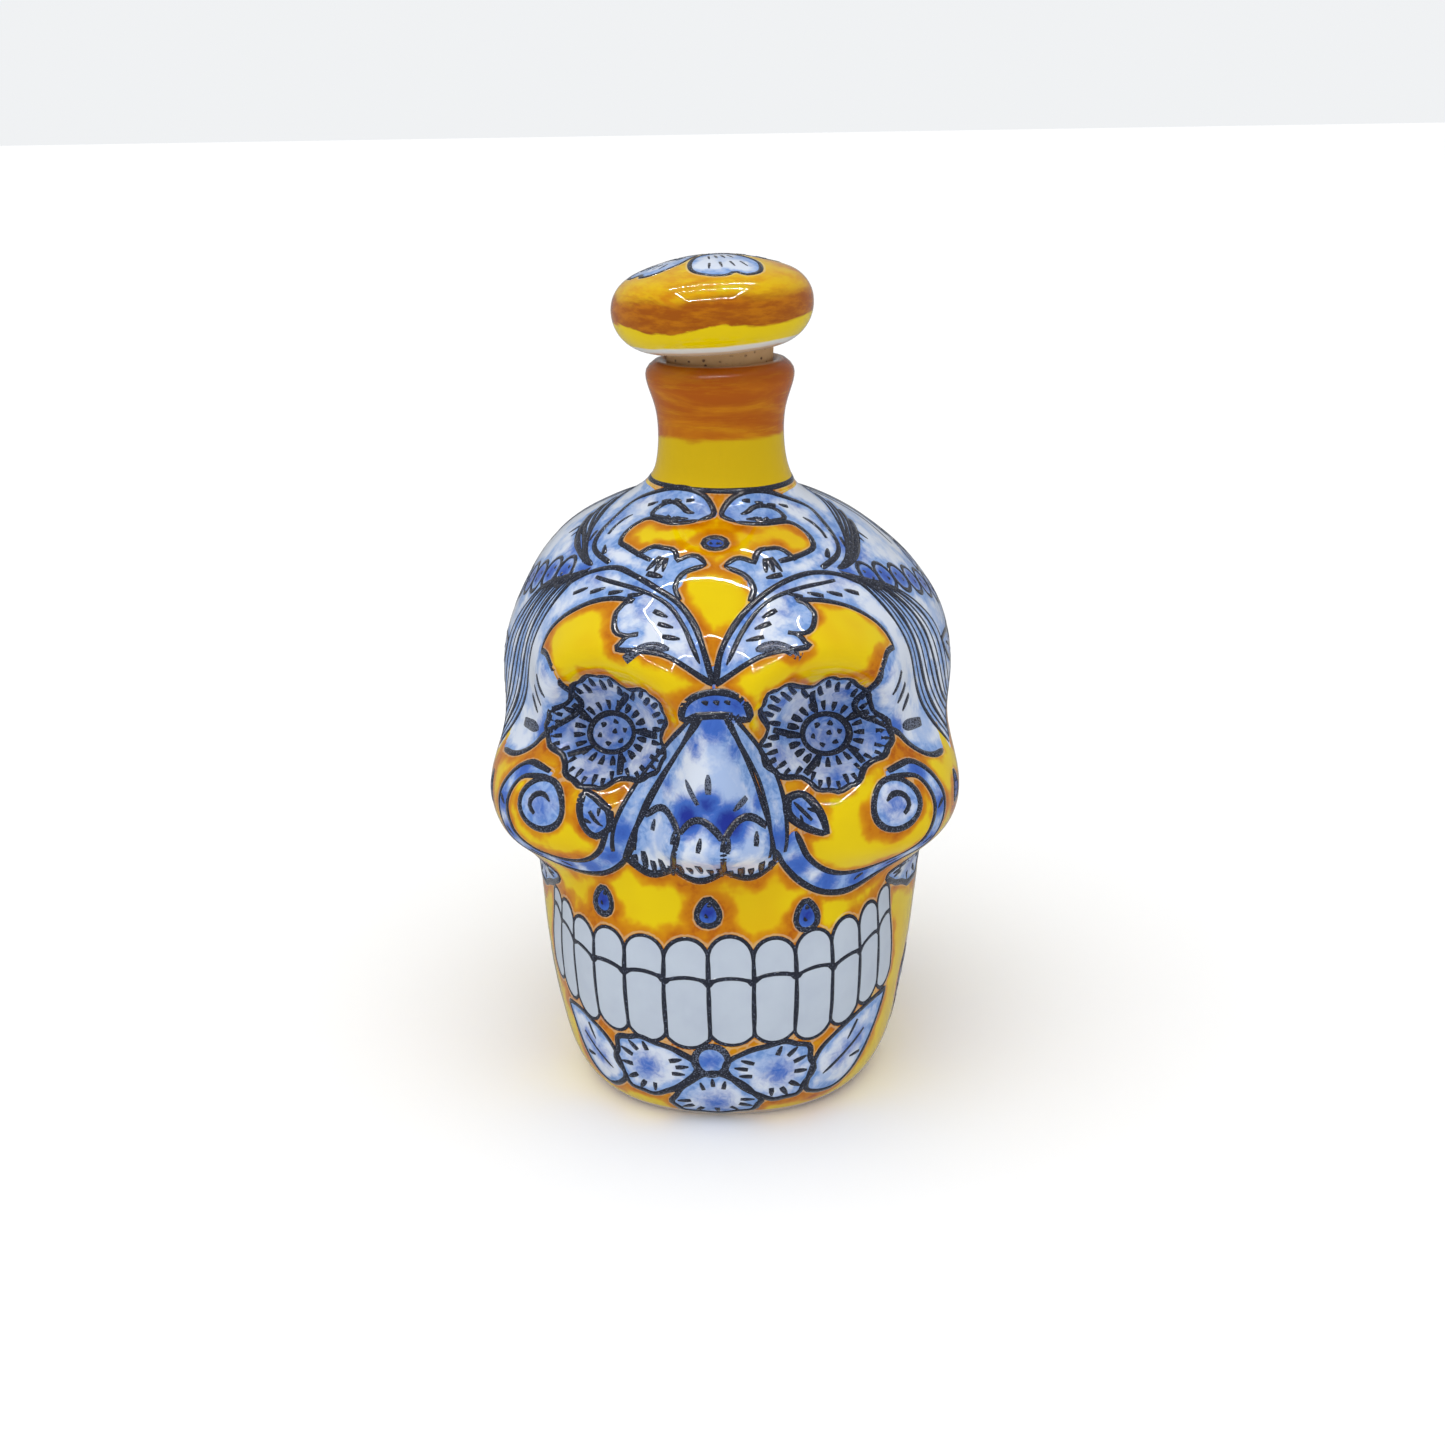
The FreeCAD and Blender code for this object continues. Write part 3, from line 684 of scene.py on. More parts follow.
def cheek(side, spine, leaf_spine):
    """A blue band goes from the nose under one cheek, climbs its far side and curls into a volute."""
    strip(spine, (3.0, 2.8, 2.4, 2.4, 2.8, 2.6, 1.8, 0.4), width=1.8, side=side)
    eye = (42.5, -7)
    motif(on_side(side, arc(eye, (6.2, 5.2), 0, 330, 12)), COOL, 1.9, dry=0.2)
    mark(on_side(side, arc(eye, (3, 2.4), 150, -60, 6)), 1.7)
    for k in range(4):
        lon, lat = spine[k + 3]
        mark([(side * (lon - 1), lat - 0.6), (side * (lon + 1.4), lat + 0.8)], 1.5)
    for lon, lat in spine[:-1]:
        deep(side * lon, lat, 4, 0.66)
    deep(side * eye[0], eye[1], 6.5, 0.42)
    leaf(on_side(side, leaf_spine), 3.2, width=2.2)


def paint_cheeks():
    """The left band is flatter than the right one."""
    curl = [(52, -2), (42, -1)]
    cheek(1, arc((36, -10), (20, 17), 190, 360) + curl, [(18, -4), (21, -7), (25, -11)])
    cheek(-1, arc((39, -9), (17, 14), 190, 360) + curl, [(25, -10), (28, -8), (32, -3)])


TOOTH_TOP, TOOTH_MIDDLE, TOOTH_BOTTOM = -33.5, -39.5, -49.5
TOOTH_GAPS = [-2.5 + 11 * k - 0.25 * k * abs(k) for k in range(-6, 7)]


def paint_gums():
    """The yellow ground round the teeth, with three drops above them."""
    ground = [(-70, -27), (-40, -27), (-20, -20), (0, -18), (20, -20), (40, -27), (70, -27)]
    ground += [(72, -40), (66, -56), (-66, -56), (-72, -40)]
    motif(ground, WARM, 0, smooth=False)
    for centre in ((-2.5, -29.5), (22, -31), (-31, -30.2)):
        teardrop(centre, 2.7, 2.3)


def paint_teeth():
    """Two rows of teeth with round tops, the lower row squarer and longer."""
    for k, (a, b) in enumerate(zip(TOOTH_GAPS, TOOTH_GAPS[1:])):
        half = (b - a) / 2
        centre = (a + b) / 2
        left_side = max(0.0, -centre - 15) / 40.0
        top = TOOTH_TOP + 0.25 * math.sin(2.4 * k) - 2.2 * left_side
        low = TOOTH_BOTTOM + 0.35 * math.cos(1.9 * k) - 0.8 * left_side
        middle = TOOTH_MIDDLE + 0.25 * math.cos(1.7 * k) - 0.3 * left_side
        shoulder = (top - middle) * 0.5
        crown = arc((centre, top - shoulder), (half, shoulder), 180, 0)
        base = arc((centre, low + 2.2), (half, 2.2), 0, -180)
        seat = arc((centre, middle - 0.6), (half, 1.1), 0, 180, 5)
        motif(seat[::-1] + base, TOOTH, 1.1)
        motif(crown + seat, TOOTH, 1.1)


def paint_chin():
    """A flower under the teeth with a plain round middle, and long leaves beside it."""
    leaf([(23, -57), (36, -54.2), (52, -51)], 4.6)
    leaf([(-28, -57), (-38, -54.8), (-50, -52)], 4.4)
    petal((-6, -52.6), (-29, -54.2), 5.6, marks=7)
    petal((1, -52.6), (24, -54.6), 5.8, marks=7)
    petal((-2.5, -53.6), (-1.5, -61.8), 8.6, marks=7)
    motif(oval((-2.5, -51.7), (4.2, 2.2)), COOL, 2.1, dry=0.5)
    deep(-2.5, -51.7, 4, 0.5)


def paint_jaw_sides():
    """Petals tucked behind each cheek, and a flower on each side of the yellow jaw."""
    for side in (-1, 1):
        petal((side * 51, -31), (side * 86, -36), 6.8, dry=0.2)
        deep(side * 54, -33, 4, 0.3)
        for lon, lat in ((92, -44), (138, -42), (93, -8), (128, 2), (68, -10)):
            teardrop((side * lon, lat), 2.2, 3.2)
        flower((side * 112, -24), 22, (side * 112, -10), turn=90.0 + 18 * side, dashes=10)
        for k in range(3):
            lon = side * (74 + 19 * k)
            petal((lon, -61.5), (lon, -51 + (k % 2)), 4.4, width=1.6, marks=4)


def paint_back():
    """Behind, the same hand carries on: a large flower between leaves, over a band of petals."""
    flower((180, 2), 30, (180, 5), petals=6, dashes=11)
    for side in (-1, 1):
        def around(points, side=side):
            return [(180 + side * lon, lat) for lon, lat in points]
        leaf([(10, 40), (22, 41), (36, 36), (49, 28)], 4.4, around)
        leaf([(7, -29), (20, -34), (33, -31), (42, -21), (45, -8)], 5.0, around)
        for k in range(3):
            lon = 180 + side * (10 + 17 * k)
            petal((lon, -61), (lon, -50), 4.2, width=1.6, marks=4)
        for k in range(4):
            lon = 6 + 13 * k
            stroke(around([(lon, 48), (lon + 4, 55), (lon + 3, 63), (lon * 0.6, 71)]), 1.5)
    motif(oval((180, 40), (7.5, 5.6)), COOL, 1.6)
    deep(180, 40, 6, 0.7)


def ground_edge(longitude):
    """The latitude down to which the white crown reaches behind the temples, scalloped."""
    back = ((longitude % 360.0) - 180.0) / 119.0
    return 30.0 - 44.0 * back ** 2 + 1.3 * abs(math.sin(math.radians(18.0 * longitude)))


def paint_grounds():
    """Yellow behind: the jaw from the cheeks down to the foot, and the back below the crown."""
    edge = [(lon, ground_edge(lon)) for lon in np.arange(61.0, 299.1, 2.0)]
    motif(edge + [(299, -66), (180, -66), (61, -66)], WARM, 0, smooth=False)
    stroke(edge[8:-8], 1.5)
    motif([(-66, -48), (66, -48), (66, -70), (-66, -70)], WARM, 0, smooth=False)


HAIR_WIDTHS = (1.5, 0.8, 1.7, 0.8, 1.1, 1.5, 0.8, 1.2, 0.8)
PAINTERS = (paint_grounds, paint_forehead, paint_cartouche, paint_brows, paint_leaves, paint_temples,
            paint_orbits, paint_gums, paint_cheeks, paint_nose, paint_eyes, paint_teeth, paint_chin,
            paint_jaw_sides, paint_back)
for paint in PAINTERS:
    paint()


# ------------ brush lines as thin raised ribbons

RIBBON_STEP = 1.3 * MM
RIBBON_RISE = 0.07 * MM
RIBBON_SINK = 0.22 * MM
WAVER = 0.16 * MM


def evenly(found, closed, whole):
    """Evenly spaced places and normals along a line of them."""
    found = [(p, n) for p, n in found if p is not None]
    if len(found) < 2:
        return []
    places = np.array([tuple(p) for p, _ in found])
    normals = np.array([tuple(n) for _, n in found])
    lengths = np.concatenate([[0.0], np.cumsum(np.linalg.norm(np.diff(places, axis=0), axis=1))])
    at = np.linspace(0.0, lengths[-1], max(2, whole(lengths[-1] / RIBBON_STEP)) + 1)
    if closed:
        at = at[:-1]
    spaced = np.column_stack([np.interp(at, lengths, places[:, i]) for i in range(3)])
    facing = np.column_stack([np.interp(at, lengths, normals[:, i]) for i in range(3)])
    return list(zip(spaced, facing / np.linalg.norm(facing, axis=1, keepdims=True)))


def round_again(path, closed):
    return list(path) + ([path[0]] if closed else [])


def resample(path, closed):
    """A line in degrees as evenly spaced places and normals on the skull."""
    return evenly([on_skull(lon, lat) for lon, lat in round_again(path, closed)], closed, round)


def drop_to_skin(point, normal):
    hit, _, _, _ = skin.ray_cast(point + normal * 2 * MM, -normal, 4 * MM)
    return hit if hit is not None else skin.find_nearest(point)[0]


def pressure(index, place, along, closed, total):
    """A brush line swells and thins as the hand presses, and an open one comes to a point at its ends."""
    value = 0.92 + 0.22 * noise.noise(place * 160 + Vector((index * 1.7, 0, 0)))
    if not closed:
        end = min(along, total - along)
        value *= 0.35 + 0.65 * min(1.0, end / (2.2 * MM)) ** 0.6
    return value


def ribbon(index, line, closed, width):
    """A closed strip over the skin: raised in the middle, with its sides and bottom just under the glaze."""
    rows = []
    count = len(line)
    total = count * RIBBON_STEP
    for k, (place, normal) in enumerate(line):
        place = Vector(place)
        normal = Vector(normal)
        before = Vector(line[(k - 1) % count if closed else max(k - 1, 0)][0])
        after = Vector(line[(k + 1) % count if closed else min(k + 1, count - 1)][0])
        along = (after - before).normalized()
        across = normal.cross(along).normalized()
        shake = WAVER * noise.noise(place * 90 + Vector((0, index * 2.3, 0)))
        half = width * MM / 2 * pressure(index, place, k * RIBBON_STEP, closed, total)
        left = drop_to_skin(place + across * (shake + half), normal)
        right = drop_to_skin(place + across * (shake - half), normal)
        middle = drop_to_skin(place + across * shake, normal)
        rise = normal * RIBBON_RISE
        sink = normal * RIBBON_SINK
        rows.append([left - sink, left + rise * 0.6, middle + rise * 1.5, right + rise * 0.6, right - sink])
    return rows


def ribbon_mesh(name, lines):
    """Join the strips of many lines in one mesh; each is closed on its own."""
    verts, faces, dryness = [], [], []
    for index, (line, closed, width, dry) in enumerate(lines):
        rows = ribbon(index, line, closed, width)
        start = len(verts)
        side = len(rows[0])
        for row in rows:
            verts.extend(row)
            dryness.extend([dry] * side)
        for j in range(len(rows) if closed else len(rows) - 1):
            low = start + j * side
            high = start + ((j + 1) % len(rows)) * side
            for i in range(side):
                k = (i + 1) % side
                faces.append((low + i, low + k, high + k, high + i))
        if not closed:
            faces.append(tuple(range(start + side - 1, start - 1, -1)))
            last = start + (len(rows) - 1) * side
            faces.append(tuple(range(last, last + side)))
    item = mesh_object(name, verts, faces)
    set_fields(item.data, dryness=dryness)
    return item


drawn = [(resample(s["path"], s["closed"]), s) for s in strokes]
drawn = [(line, s) for line, s in drawn if len(line) > 1]
linework = ribbon_mesh("brush_lines", [(line, s["closed"], s["width"], s["dry"]) for line, s in drawn])


# ------------ paint fields on the shell

def inside(outline, lon, lat):
    """Which places lie in a closed outline, all in degrees."""
    hit = np.zeros(len(lon), bool)
    x0, y0 = outline[-1]
    for x1, y1 in outline:
        crosses = (y0 > lat) != (y1 > lat)
        if y1 != y0:
            reach = (x1 - x0) * (lat - y0) / (y1 - y0) + x0
            hit ^= crosses & (lon < reach)
        x0, y0 = x1, y1
    return hit


def paint_fields():
    """For each point of the shell: its tone, how far the nearest outline is, and the pools of strong blue."""
    co = places_of(shell)
    away = co - np.array(CENTRE)
    lon = np.degrees(np.arctan2(away[:, 0], -away[:, 1]))
    lat = np.degrees(np.arctan2(away[:, 2], np.linalg.norm(away[:, :2], axis=1)))
    tone = np.zeros(len(co), int)
    codes = {COOL: 0, WARM: 1, TOOTH: 2}
    for outline, name in motifs:
        middle = (outline[:, 0].min() + outline[:, 0].max()) / 2
        near = (lon - middle + 180.0) % 360.0 - 180.0 + middle
        box = ((near >= outline[:, 0].min()) & (near <= outline[:, 0].max())
               & (lat >= outline[:, 1].min()) & (lat <= outline[:, 1].max()))
        which = np.where(box)[0]
        if len(which):
            tone[which[inside(outline, near[which], lat[which])]] = codes[name]
    edges = [place for line, s in drawn if s["edge"] for place, _ in line]
    gap = nearest_gaps(co, edges)
    strong = np.zeros(len(co))
    for d_lon, d_lat, radius, strength in deeps:
        place = on_skull(d_lon, d_lat)[0]
        if place is not None:
            distance = np.linalg.norm(co - np.array(place), axis=1) / (radius * MM)
            strong = np.maximum(strong, strength * np.exp(-distance ** 2))
    return tone, gap, strong


NECK_LINE = on_skull(0.0, RING_LATITUDE)[0].z
NECK_PAINT = 172.2 * MM
FOOT_GLAZE = 2.2 * MM
tone, gap, strong = paint_fields()
heights = np.array([v.co.z for v in shell.data.vertices])
outside = np.zeros(len(heights))
outside[:OUTER_POINTS] = 1.0
set_fields(shell.data, gap=gap, warm=np.where(tone == 1, gap, -gap), tooth=np.where(tone == 2, gap, -gap),
           strong=strong, outside=outside)


# ------------ materials

YELLOW = (0.77, 0.565, 0.0)
DEEP_YELLOW = (0.72, 0.45, 0.0)
AMBER = (0.66, 0.31, 0.0)
ORANGE = (0.56, 0.19, 0.0)
BURNT = (0.40, 0.088, 0.0)
PALE = (0.67, 0.73, 0.84)
WASH = (0.29, 0.43, 0.74)
SKY = (0.15, 0.29, 0.62)
BLUE = (0.050, 0.140, 0.52)
COBALT = (0.012, 0.030, 0.29)
TOOTH_WHITE = (0.51, 0.575, 0.665)
TOOTH_SHADE = (0.465, 0.525, 0.625)
NECK_YELLOW = (0.63, 0.42, 0.0)
NECK_GOLD = (0.60, 0.27, 0.0)
HALO = (0.74, 0.68, 0.42)
INK = (0.010, 0.012, 0.020)
BISQUE = (0.55, 0.38, 0.24)
PALE_BISQUE = (0.66, 0.50, 0.35)
CAP_BISQUE = (0.70, 0.55, 0.40)
CAP_WHITE = (0.72, 0.71, 0.66)
CAP_BROWN = (0.48, 0.155, 0.0)
CAP_UMBER = (0.33, 0.08, 0.0)
LIP_BROWN = (0.27, 0.055, 0.0)
SOFT_INK = (0.024, 0.028, 0.046)
DRY_INK = (0.16, 0.19, 0.27)
CORK_DARK = (0.50, 0.29, 0.12)
CORK_PALE = (0.66, 0.43, 0.22)
CORK_PORE = (0.12, 0.06, 0.03)
GLUE = (0.80, 0.72, 0.55)
GLUE_AMBER = (0.66, 0.55, 0.38)
FLOOR_GREY = (0.95, 0.95, 0.95)
FLOOR_WHITE = (0.97, 0.97, 0.97)


class Nodes:
    """A short way to write a material's node tree."""

    def __init__(self, name):
        self.material = bpy.data.materials.new(name)
        self.material.use_nodes = True
        self.tree = self.material.node_tree
        self.shader = self.tree.nodes["Principled BSDF"]

    def node(self, kind, inputs=(), **props):
        item = self.tree.nodes.new(kind)
        for key, value in props.items():
            setattr(item, key, value)
        for key, value in dict(inputs).items():
            self.feed(item.inputs[key], value)
        return item

    def feed(self, socket, value):
        if isinstance(value, bpy.types.NodeSocket):
            self.tree.links.new(value, socket)
        elif isinstance(value, tuple) and len(value) == 3 and socket.type == "RGBA":
            socket.default_value = (*value, 1.0)
        else:
            socket.default_value = value

    def math(self, operation, a, b=0.0):
        return self.node("ShaderNodeMath", {0: a, 1: b}, operation=operation).outputs[0]

    def times(self, a, b):
        return self.math("MULTIPLY", a, b)

    def plus(self, a, b):
        return self.math("ADD", a, b)

    def minus(self, a, b):
        return self.math("SUBTRACT", a, b)

    def step(self, value, start, end):
        """0 below start and 1 above end, smoothly; start may be the larger."""
        item = self.node("ShaderNodeMapRange", {"Value": value, "From Min": start, "From Max": end},
                         interpolation_type="SMOOTHSTEP")
        return item.outputs["Result"]

    def mix(self, share, a, b):
        item = self.node("ShaderNodeMix", data_type="RGBA")
        self.feed(item.inputs["Factor"], share)
        self.feed(item.inputs[6], a)
        self.feed(item.inputs[7], b)
        return item.outputs[2]

    def value(self, name):
        return self.node("ShaderNodeAttribute", attribute_name=name).outputs["Fac"]

    def place(self):
        return self.node("ShaderNodeTexCoord").outputs["Object"]

    def noise(self, scale, detail=4.0, roughness=0.55, stretch=None, distortion=0.0):
        where = self.place()
        if stretch:
            where = self.node("ShaderNodeMapping", {"Vector": where, "Scale": stretch}).outputs[0]
        inputs = {"Vector": where, "Scale": scale, "Detail": detail, "Roughness": roughness}
        return self.node("ShaderNodeTexNoise", {**inputs, "Distortion": distortion}).outputs["Fac"]

    def bump(self, height, strength, distance):
        item = self.node("ShaderNodeBump", {"Height": height, "Strength": strength, "Distance": distance})
        self.feed(self.shader.inputs["Normal"], item.outputs[0])

    def colour(self, value, roughness):
        self.feed(self.shader.inputs["Base Color"], value)
        self.shader.inputs["Roughness"].default_value = roughness

    def glaze(self, value, roughness=0.22):
        """Paint under a clear glossy glaze."""
        self.colour(value, roughness)
        self.shader.inputs["Specular IOR Level"].default_value = 0.0
        self.shader.inputs["Coat Weight"].default_value = 1.0
        self.shader.inputs["Coat Roughness"].default_value = 0.03
        self.shader.inputs["Coat IOR"].default_value = 1.4


def warm_paint(n, distance):
    """Yellow that was brushed over with orange near the outlines, in patches."""
    patch = n.noise(95.0, 3.0, 0.5)
    wash = n.noise(420.0, 5.0, 0.6)
    reach = n.plus(n.times(patch, 12.0), -3.4)
    beyond = n.minus(distance, reach)
    yellow = n.mix(n.step(n.noise(45.0, 2.0), 0.4, 0.75), YELLOW, DEEP_YELLOW)
    colour = n.mix(n.step(beyond, 1.4, -0.4), yellow, AMBER)
    colour = n.mix(n.step(beyond, 0.5, -1.6), colour, ORANGE)
    dark = n.times(n.step(wash, 0.40, 0.66), n.step(beyond, -0.6, -3.0))
    return n.mix(dark, colour, BURNT)


def cool_paint(n, distance, strong):
    """White glaze washed with blue: strongest beside the outlines, in soft streaks, with pools of cobalt."""
    cloud = n.noise(110.0, 4.0, 0.6)
    streak = n.noise(420.0, 6.0, 0.65, distortion=0.8)
    reach = n.plus(n.times(cloud, 10.0), -2.4)
    near = n.step(n.minus(distance, reach), 1.2, -1.6)
    colour = n.mix(n.times(n.step(cloud, 0.44, 0.64), 0.75), PALE, WASH)
    colour = n.mix(near, colour, n.mix(n.step(streak, 0.40, 0.62), WASH, SKY))
    uneven = n.plus(strong, n.times(n.minus(streak, 0.5), 0.55))
    colour = n.mix(n.step(uneven, 0.10, 0.55), colour, BLUE)
    return n.mix(n.step(uneven, 0.50, 1.0), colour, COBALT)


def skull_glaze():
    n = Nodes("painted_glaze_look")
    height = n.node("ShaderNodeSeparateXYZ", {0: n.place()}).outputs["Z"]
    gap_value = n.value("gap")
    warm_side = n.value("warm")
    tooth_side = n.value("tooth")
    cool = cool_paint(n, gap_value, n.value("strong"))
    warm = warm_paint(n, gap_value)
    colour = n.mix(n.step(warm_side, -0.15, 0.15), cool, warm)
    halo = n.times(n.step(warm_side, 0.55, 0.75), n.step(warm_side, 1.35, 0.95))
    colour = n.mix(n.times(halo, 0.35), colour, HALO)
    white = n.mix(n.step(n.noise(120.0, 3.0), 0.3, 0.8), TOOTH_WHITE, TOOTH_SHADE)
    colour = n.mix(n.step(tooth_side, -0.15, 0.15), colour, white)
    colour = n.mix(n.step(height, NECK_LINE - 0.2 * MM, NECK_LINE + 0.2 * MM), colour, neck_paint(n, height))
    foot_edge = n.plus(height, n.times(n.noise(60.0, 2.0), -1.2 * MM))
    bare = n.step(foot_edge, FOOT_GLAZE * 0.75, FOOT_GLAZE * 0.5)
    inner = n.minus(1.0, n.value("outside"))
    clay = n.mix(n.noise(300.0, 5.0), BISQUE, PALE_BISQUE)
    colour = n.mix(n.math("MAXIMUM", bare, inner), colour, clay)
    n.glaze(colour)
    ripple = n.plus(n.noise(38.0, 2.0), n.times(n.noise(260.0, 2.0), 0.10))
    n.bump(ripple, 0.35, 0.6 * MM)
    return n.material


def neck_paint(n, height):
    """Burnt orange brushed round the neck over yellow, with an uneven lower edge."""
    sweep = n.noise(26.0, 5.0, 0.6, stretch=(1.0, 1.0, 5.0), distortion=0.8)
    bristle = n.noise(90.0, 6.0, 0.7, stretch=(0.6, 0.6, 7.0))
    edge = n.plus(height, n.times(n.minus(sweep, 0.5), 7.0 * MM))
    over = n.step(edge, NECK_PAINT - 0.8 * MM, NECK_PAINT + 0.8 * MM)
    orange = n.mix(n.step(sweep, 0.32, 0.58), ORANGE, BURNT)
    orange = n.mix(n.times(n.step(bristle, 0.50, 0.72), 0.55), orange, NECK_GOLD)
    orange = n.mix(n.times(n.step(sweep, 0.40, 0.26), 0.8), orange, NECK_GOLD)
    lip = n.step(height, LIP_TOP - 6.5 * MM, LIP_TOP - 2.5 * MM)
    orange = n.mix(n.times(lip, 0.55), orange, LIP_BROWN)
    return n.mix(over, NECK_YELLOW, orange)


def ink_glaze():
    """Blue-black brush lines; the driest strokes are speckled."""
    n = Nodes("ink_glaze_look")
    grain = n.noise(2600.0, 2.0, 0.6)
    dry = n.value("dryness")
    bare = n.step(n.plus(grain, n.times(dry, 0.17)), 0.60, 0.66)
    wet = n.mix(n.noise(700.0, 3.0), INK, SOFT_INK)
    n.glaze(n.mix(n.times(bare, 0.8), wet, DRY_INK), 0.3)
    n.bump(grain, 0.12, 0.05 * MM)
    return n.material


def cap_glaze():
    n = Nodes("cap_glaze_look")
    rise = n.value("rise")
    sweep = n.noise(30.0, 5.0, 0.6, stretch=(1.0, 1.0, 3.2), distortion=0.9)
    fine = n.noise(140.0, 6.0, 0.65, stretch=(1.0, 1.0, 4.0))
    wave = n.times(n.minus(sweep, 0.5), 9.0)
    level = n.plus(rise, wave)
    band = n.times(n.step(level, -3.2, -2.4), n.step(level, 5.6, 2.8))
    gold = n.mix(n.step(fine, 0.38, 0.66), DEEP_YELLOW, AMBER)
    gold = n.mix(n.step(sweep, 0.5, 0.68), gold, ORANGE)
    gold = n.mix(n.step(sweep, 0.46, 0.34), gold, YELLOW)
    colour = n.mix(n.step(rise, 0.0, 2.0), YELLOW, gold)
    brown = n.mix(n.step(fine, 0.34, 0.60), CAP_BROWN, CAP_UMBER)
    colour = n.mix(band, colour, brown)
    cool = cool_paint(n, n.value("gap"), n.value("strong"))
    warm_side = n.value("warm")
    halo = n.times(n.step(warm_side, 0.5, 0.7), n.step(warm_side, 1.3, 0.9))
    colour = n.mix(n.times(halo, 0.4), colour, HALO)
    colour = n.mix(n.step(warm_side, 0.15, -0.15), colour, cool)
    edge = n.plus(rise, n.times(n.noise(55.0, 2.0), 1.2))
    colour = n.mix(n.step(edge, -6.9, -7.5), colour, CAP_WHITE)
    clay = n.mix(n.noise(260.0, 5.0), BISQUE, CAP_BISQUE)
    bare = n.step(edge, -8.3, -8.8)
    n.glaze(n.mix(bare, colour, clay))
    n.bump(n.noise(45.0, 2.0), 0.35, 0.5 * MM)
    return n.material


def cork_look():
    """Pale cork: soft mottling, dark pores and short streaks."""
    n = Nodes("cork_look")
    soft = n.noise(180.0, 5.0, 0.6)
    pores = n.node("ShaderNodeTexVoronoi", {"Vector": n.place(), "Scale": 520.0}).outputs["Distance"]
    streak = n.noise(160.0, 4.0, 0.6, stretch=(1.0, 1.0, 3.5))
    colour = n.mix(soft, CORK_DARK, CORK_PALE)
    hole = n.times(n.step(pores, 0.32, 0.12), n.step(streak, 0.45, 0.62))
    n.colour(n.mix(hole, colour, CORK_PORE), 0.85)
    n.bump(n.minus(soft, hole), 0.6, 0.3 * MM)
    return n.material


def glue_look():
    n = Nodes("glue_look")
    n.colour(n.mix(n.noise(300.0), GLUE, GLUE_AMBER), 0.45)
    n.bump(n.noise(500.0), 0.3, 0.1 * MM)
    return n.material


def dress(item, material):
    item.data.materials.clear()
    item.data.materials.append(material)


# ------------ the cap

CAP_COLUMNS = 120
CAP_TILT = math.radians(-3.0)
CAP_CENTRE = Vector((AXIS.x - 1.7 * MM, AXIS.y, 204.6 * MM))
CAP_RADIUS = 26.0 * MM
CAP_LOWER, CAP_UPPER, CAP_DOME = 10.5 * MM, 9.3 * MM, 50.0 * MM
CAP_PRESS = 0.988
SOCKET_RADIUS = 14.2 * MM
SOCKET_TOP = 200.3 * MM


def cap_profile():
    """Radius and height of the cap's outside from the socket's edge round the rim to the top."""
    profile = [(SOCKET_RADIUS, -CAP_LOWER), (CAP_RADIUS - CAP_LOWER, -CAP_LOWER)]
    for a in np.linspace(-90, 0, 15)[1:]:
        t = math.radians(a)
        profile.append((CAP_RADIUS - CAP_LOWER + CAP_LOWER * math.cos(t), CAP_LOWER * math.sin(t)))
    drop = math.sqrt((CAP_DOME - CAP_UPPER) ** 2 - (CAP_RADIUS - CAP_UPPER) ** 2)
    lean = math.atan2(drop, CAP_RADIUS - CAP_UPPER)
    for t in np.linspace(0, lean, 13)[1:]:
        profile.append((CAP_RADIUS - CAP_UPPER + CAP_UPPER * math.cos(t), CAP_UPPER * math.sin(t)))
    for t in np.linspace(lean, math.pi / 2, 18)[1:-1]:
        profile.append((CAP_DOME * math.cos(t), CAP_DOME * math.sin(t) - drop))
    return profile, CAP_DOME - drop


def build_cap():
    """The cap, leaning as the CAD cap does, with a blind socket that is square to the cork."""
    profile, top = cap_profile()
    turn = Quaternion((0, 1, 0), CAP_TILT)
    verts = []
    rise = []

    def add(x, y, z):
        verts.append(CAP_CENTRE + turn @ Vector((x, y, z)))
        rise.append(z / MM)

    angles = [2 * math.pi * k / CAP_COLUMNS for k in range(CAP_COLUMNS)]
    for height in (SOCKET_TOP, SOCKET_TOP - 2.5 * MM, CAP_CENTRE.z - CAP_LOWER + 1.2 * MM):
        for a in angles:
            verts.append(AXIS + Vector((SOCKET_RADIUS * math.cos(a), SOCKET_RADIUS * math.sin(a), height)))
            rise.append(-CAP_LOWER / MM)
    for radius, height in profile[1:]:
        for a in angles:
            where = Vector((2.2 * math.cos(a), 2.2 * math.sin(a), height / MM * 0.12))
            uneven = 1.0 + 0.004 * noise.noise(where)
            reach = min(radius * uneven, CAP_RADIUS)
            add(reach * math.cos(a), reach * math.sin(a), height * CAP_PRESS if height > 0 else height)
    rows = len(verts) // CAP_COLUMNS
    faces = grid_faces(rows, CAP_COLUMNS)
    add(0, 0, top * CAP_PRESS)
    faces += fan((rows - 1) * CAP_COLUMNS, CAP_COLUMNS, len(verts) - 1, False)
    verts.append(above(SOCKET_TOP))
    rise.append(-CAP_LOWER / MM)
    faces += fan(0, CAP_COLUMNS, len(verts) - 1, True)
    cap = mesh_object("glazed_cap", verts, faces)
    set_fields(cap.data, rise=rise)
    return cap


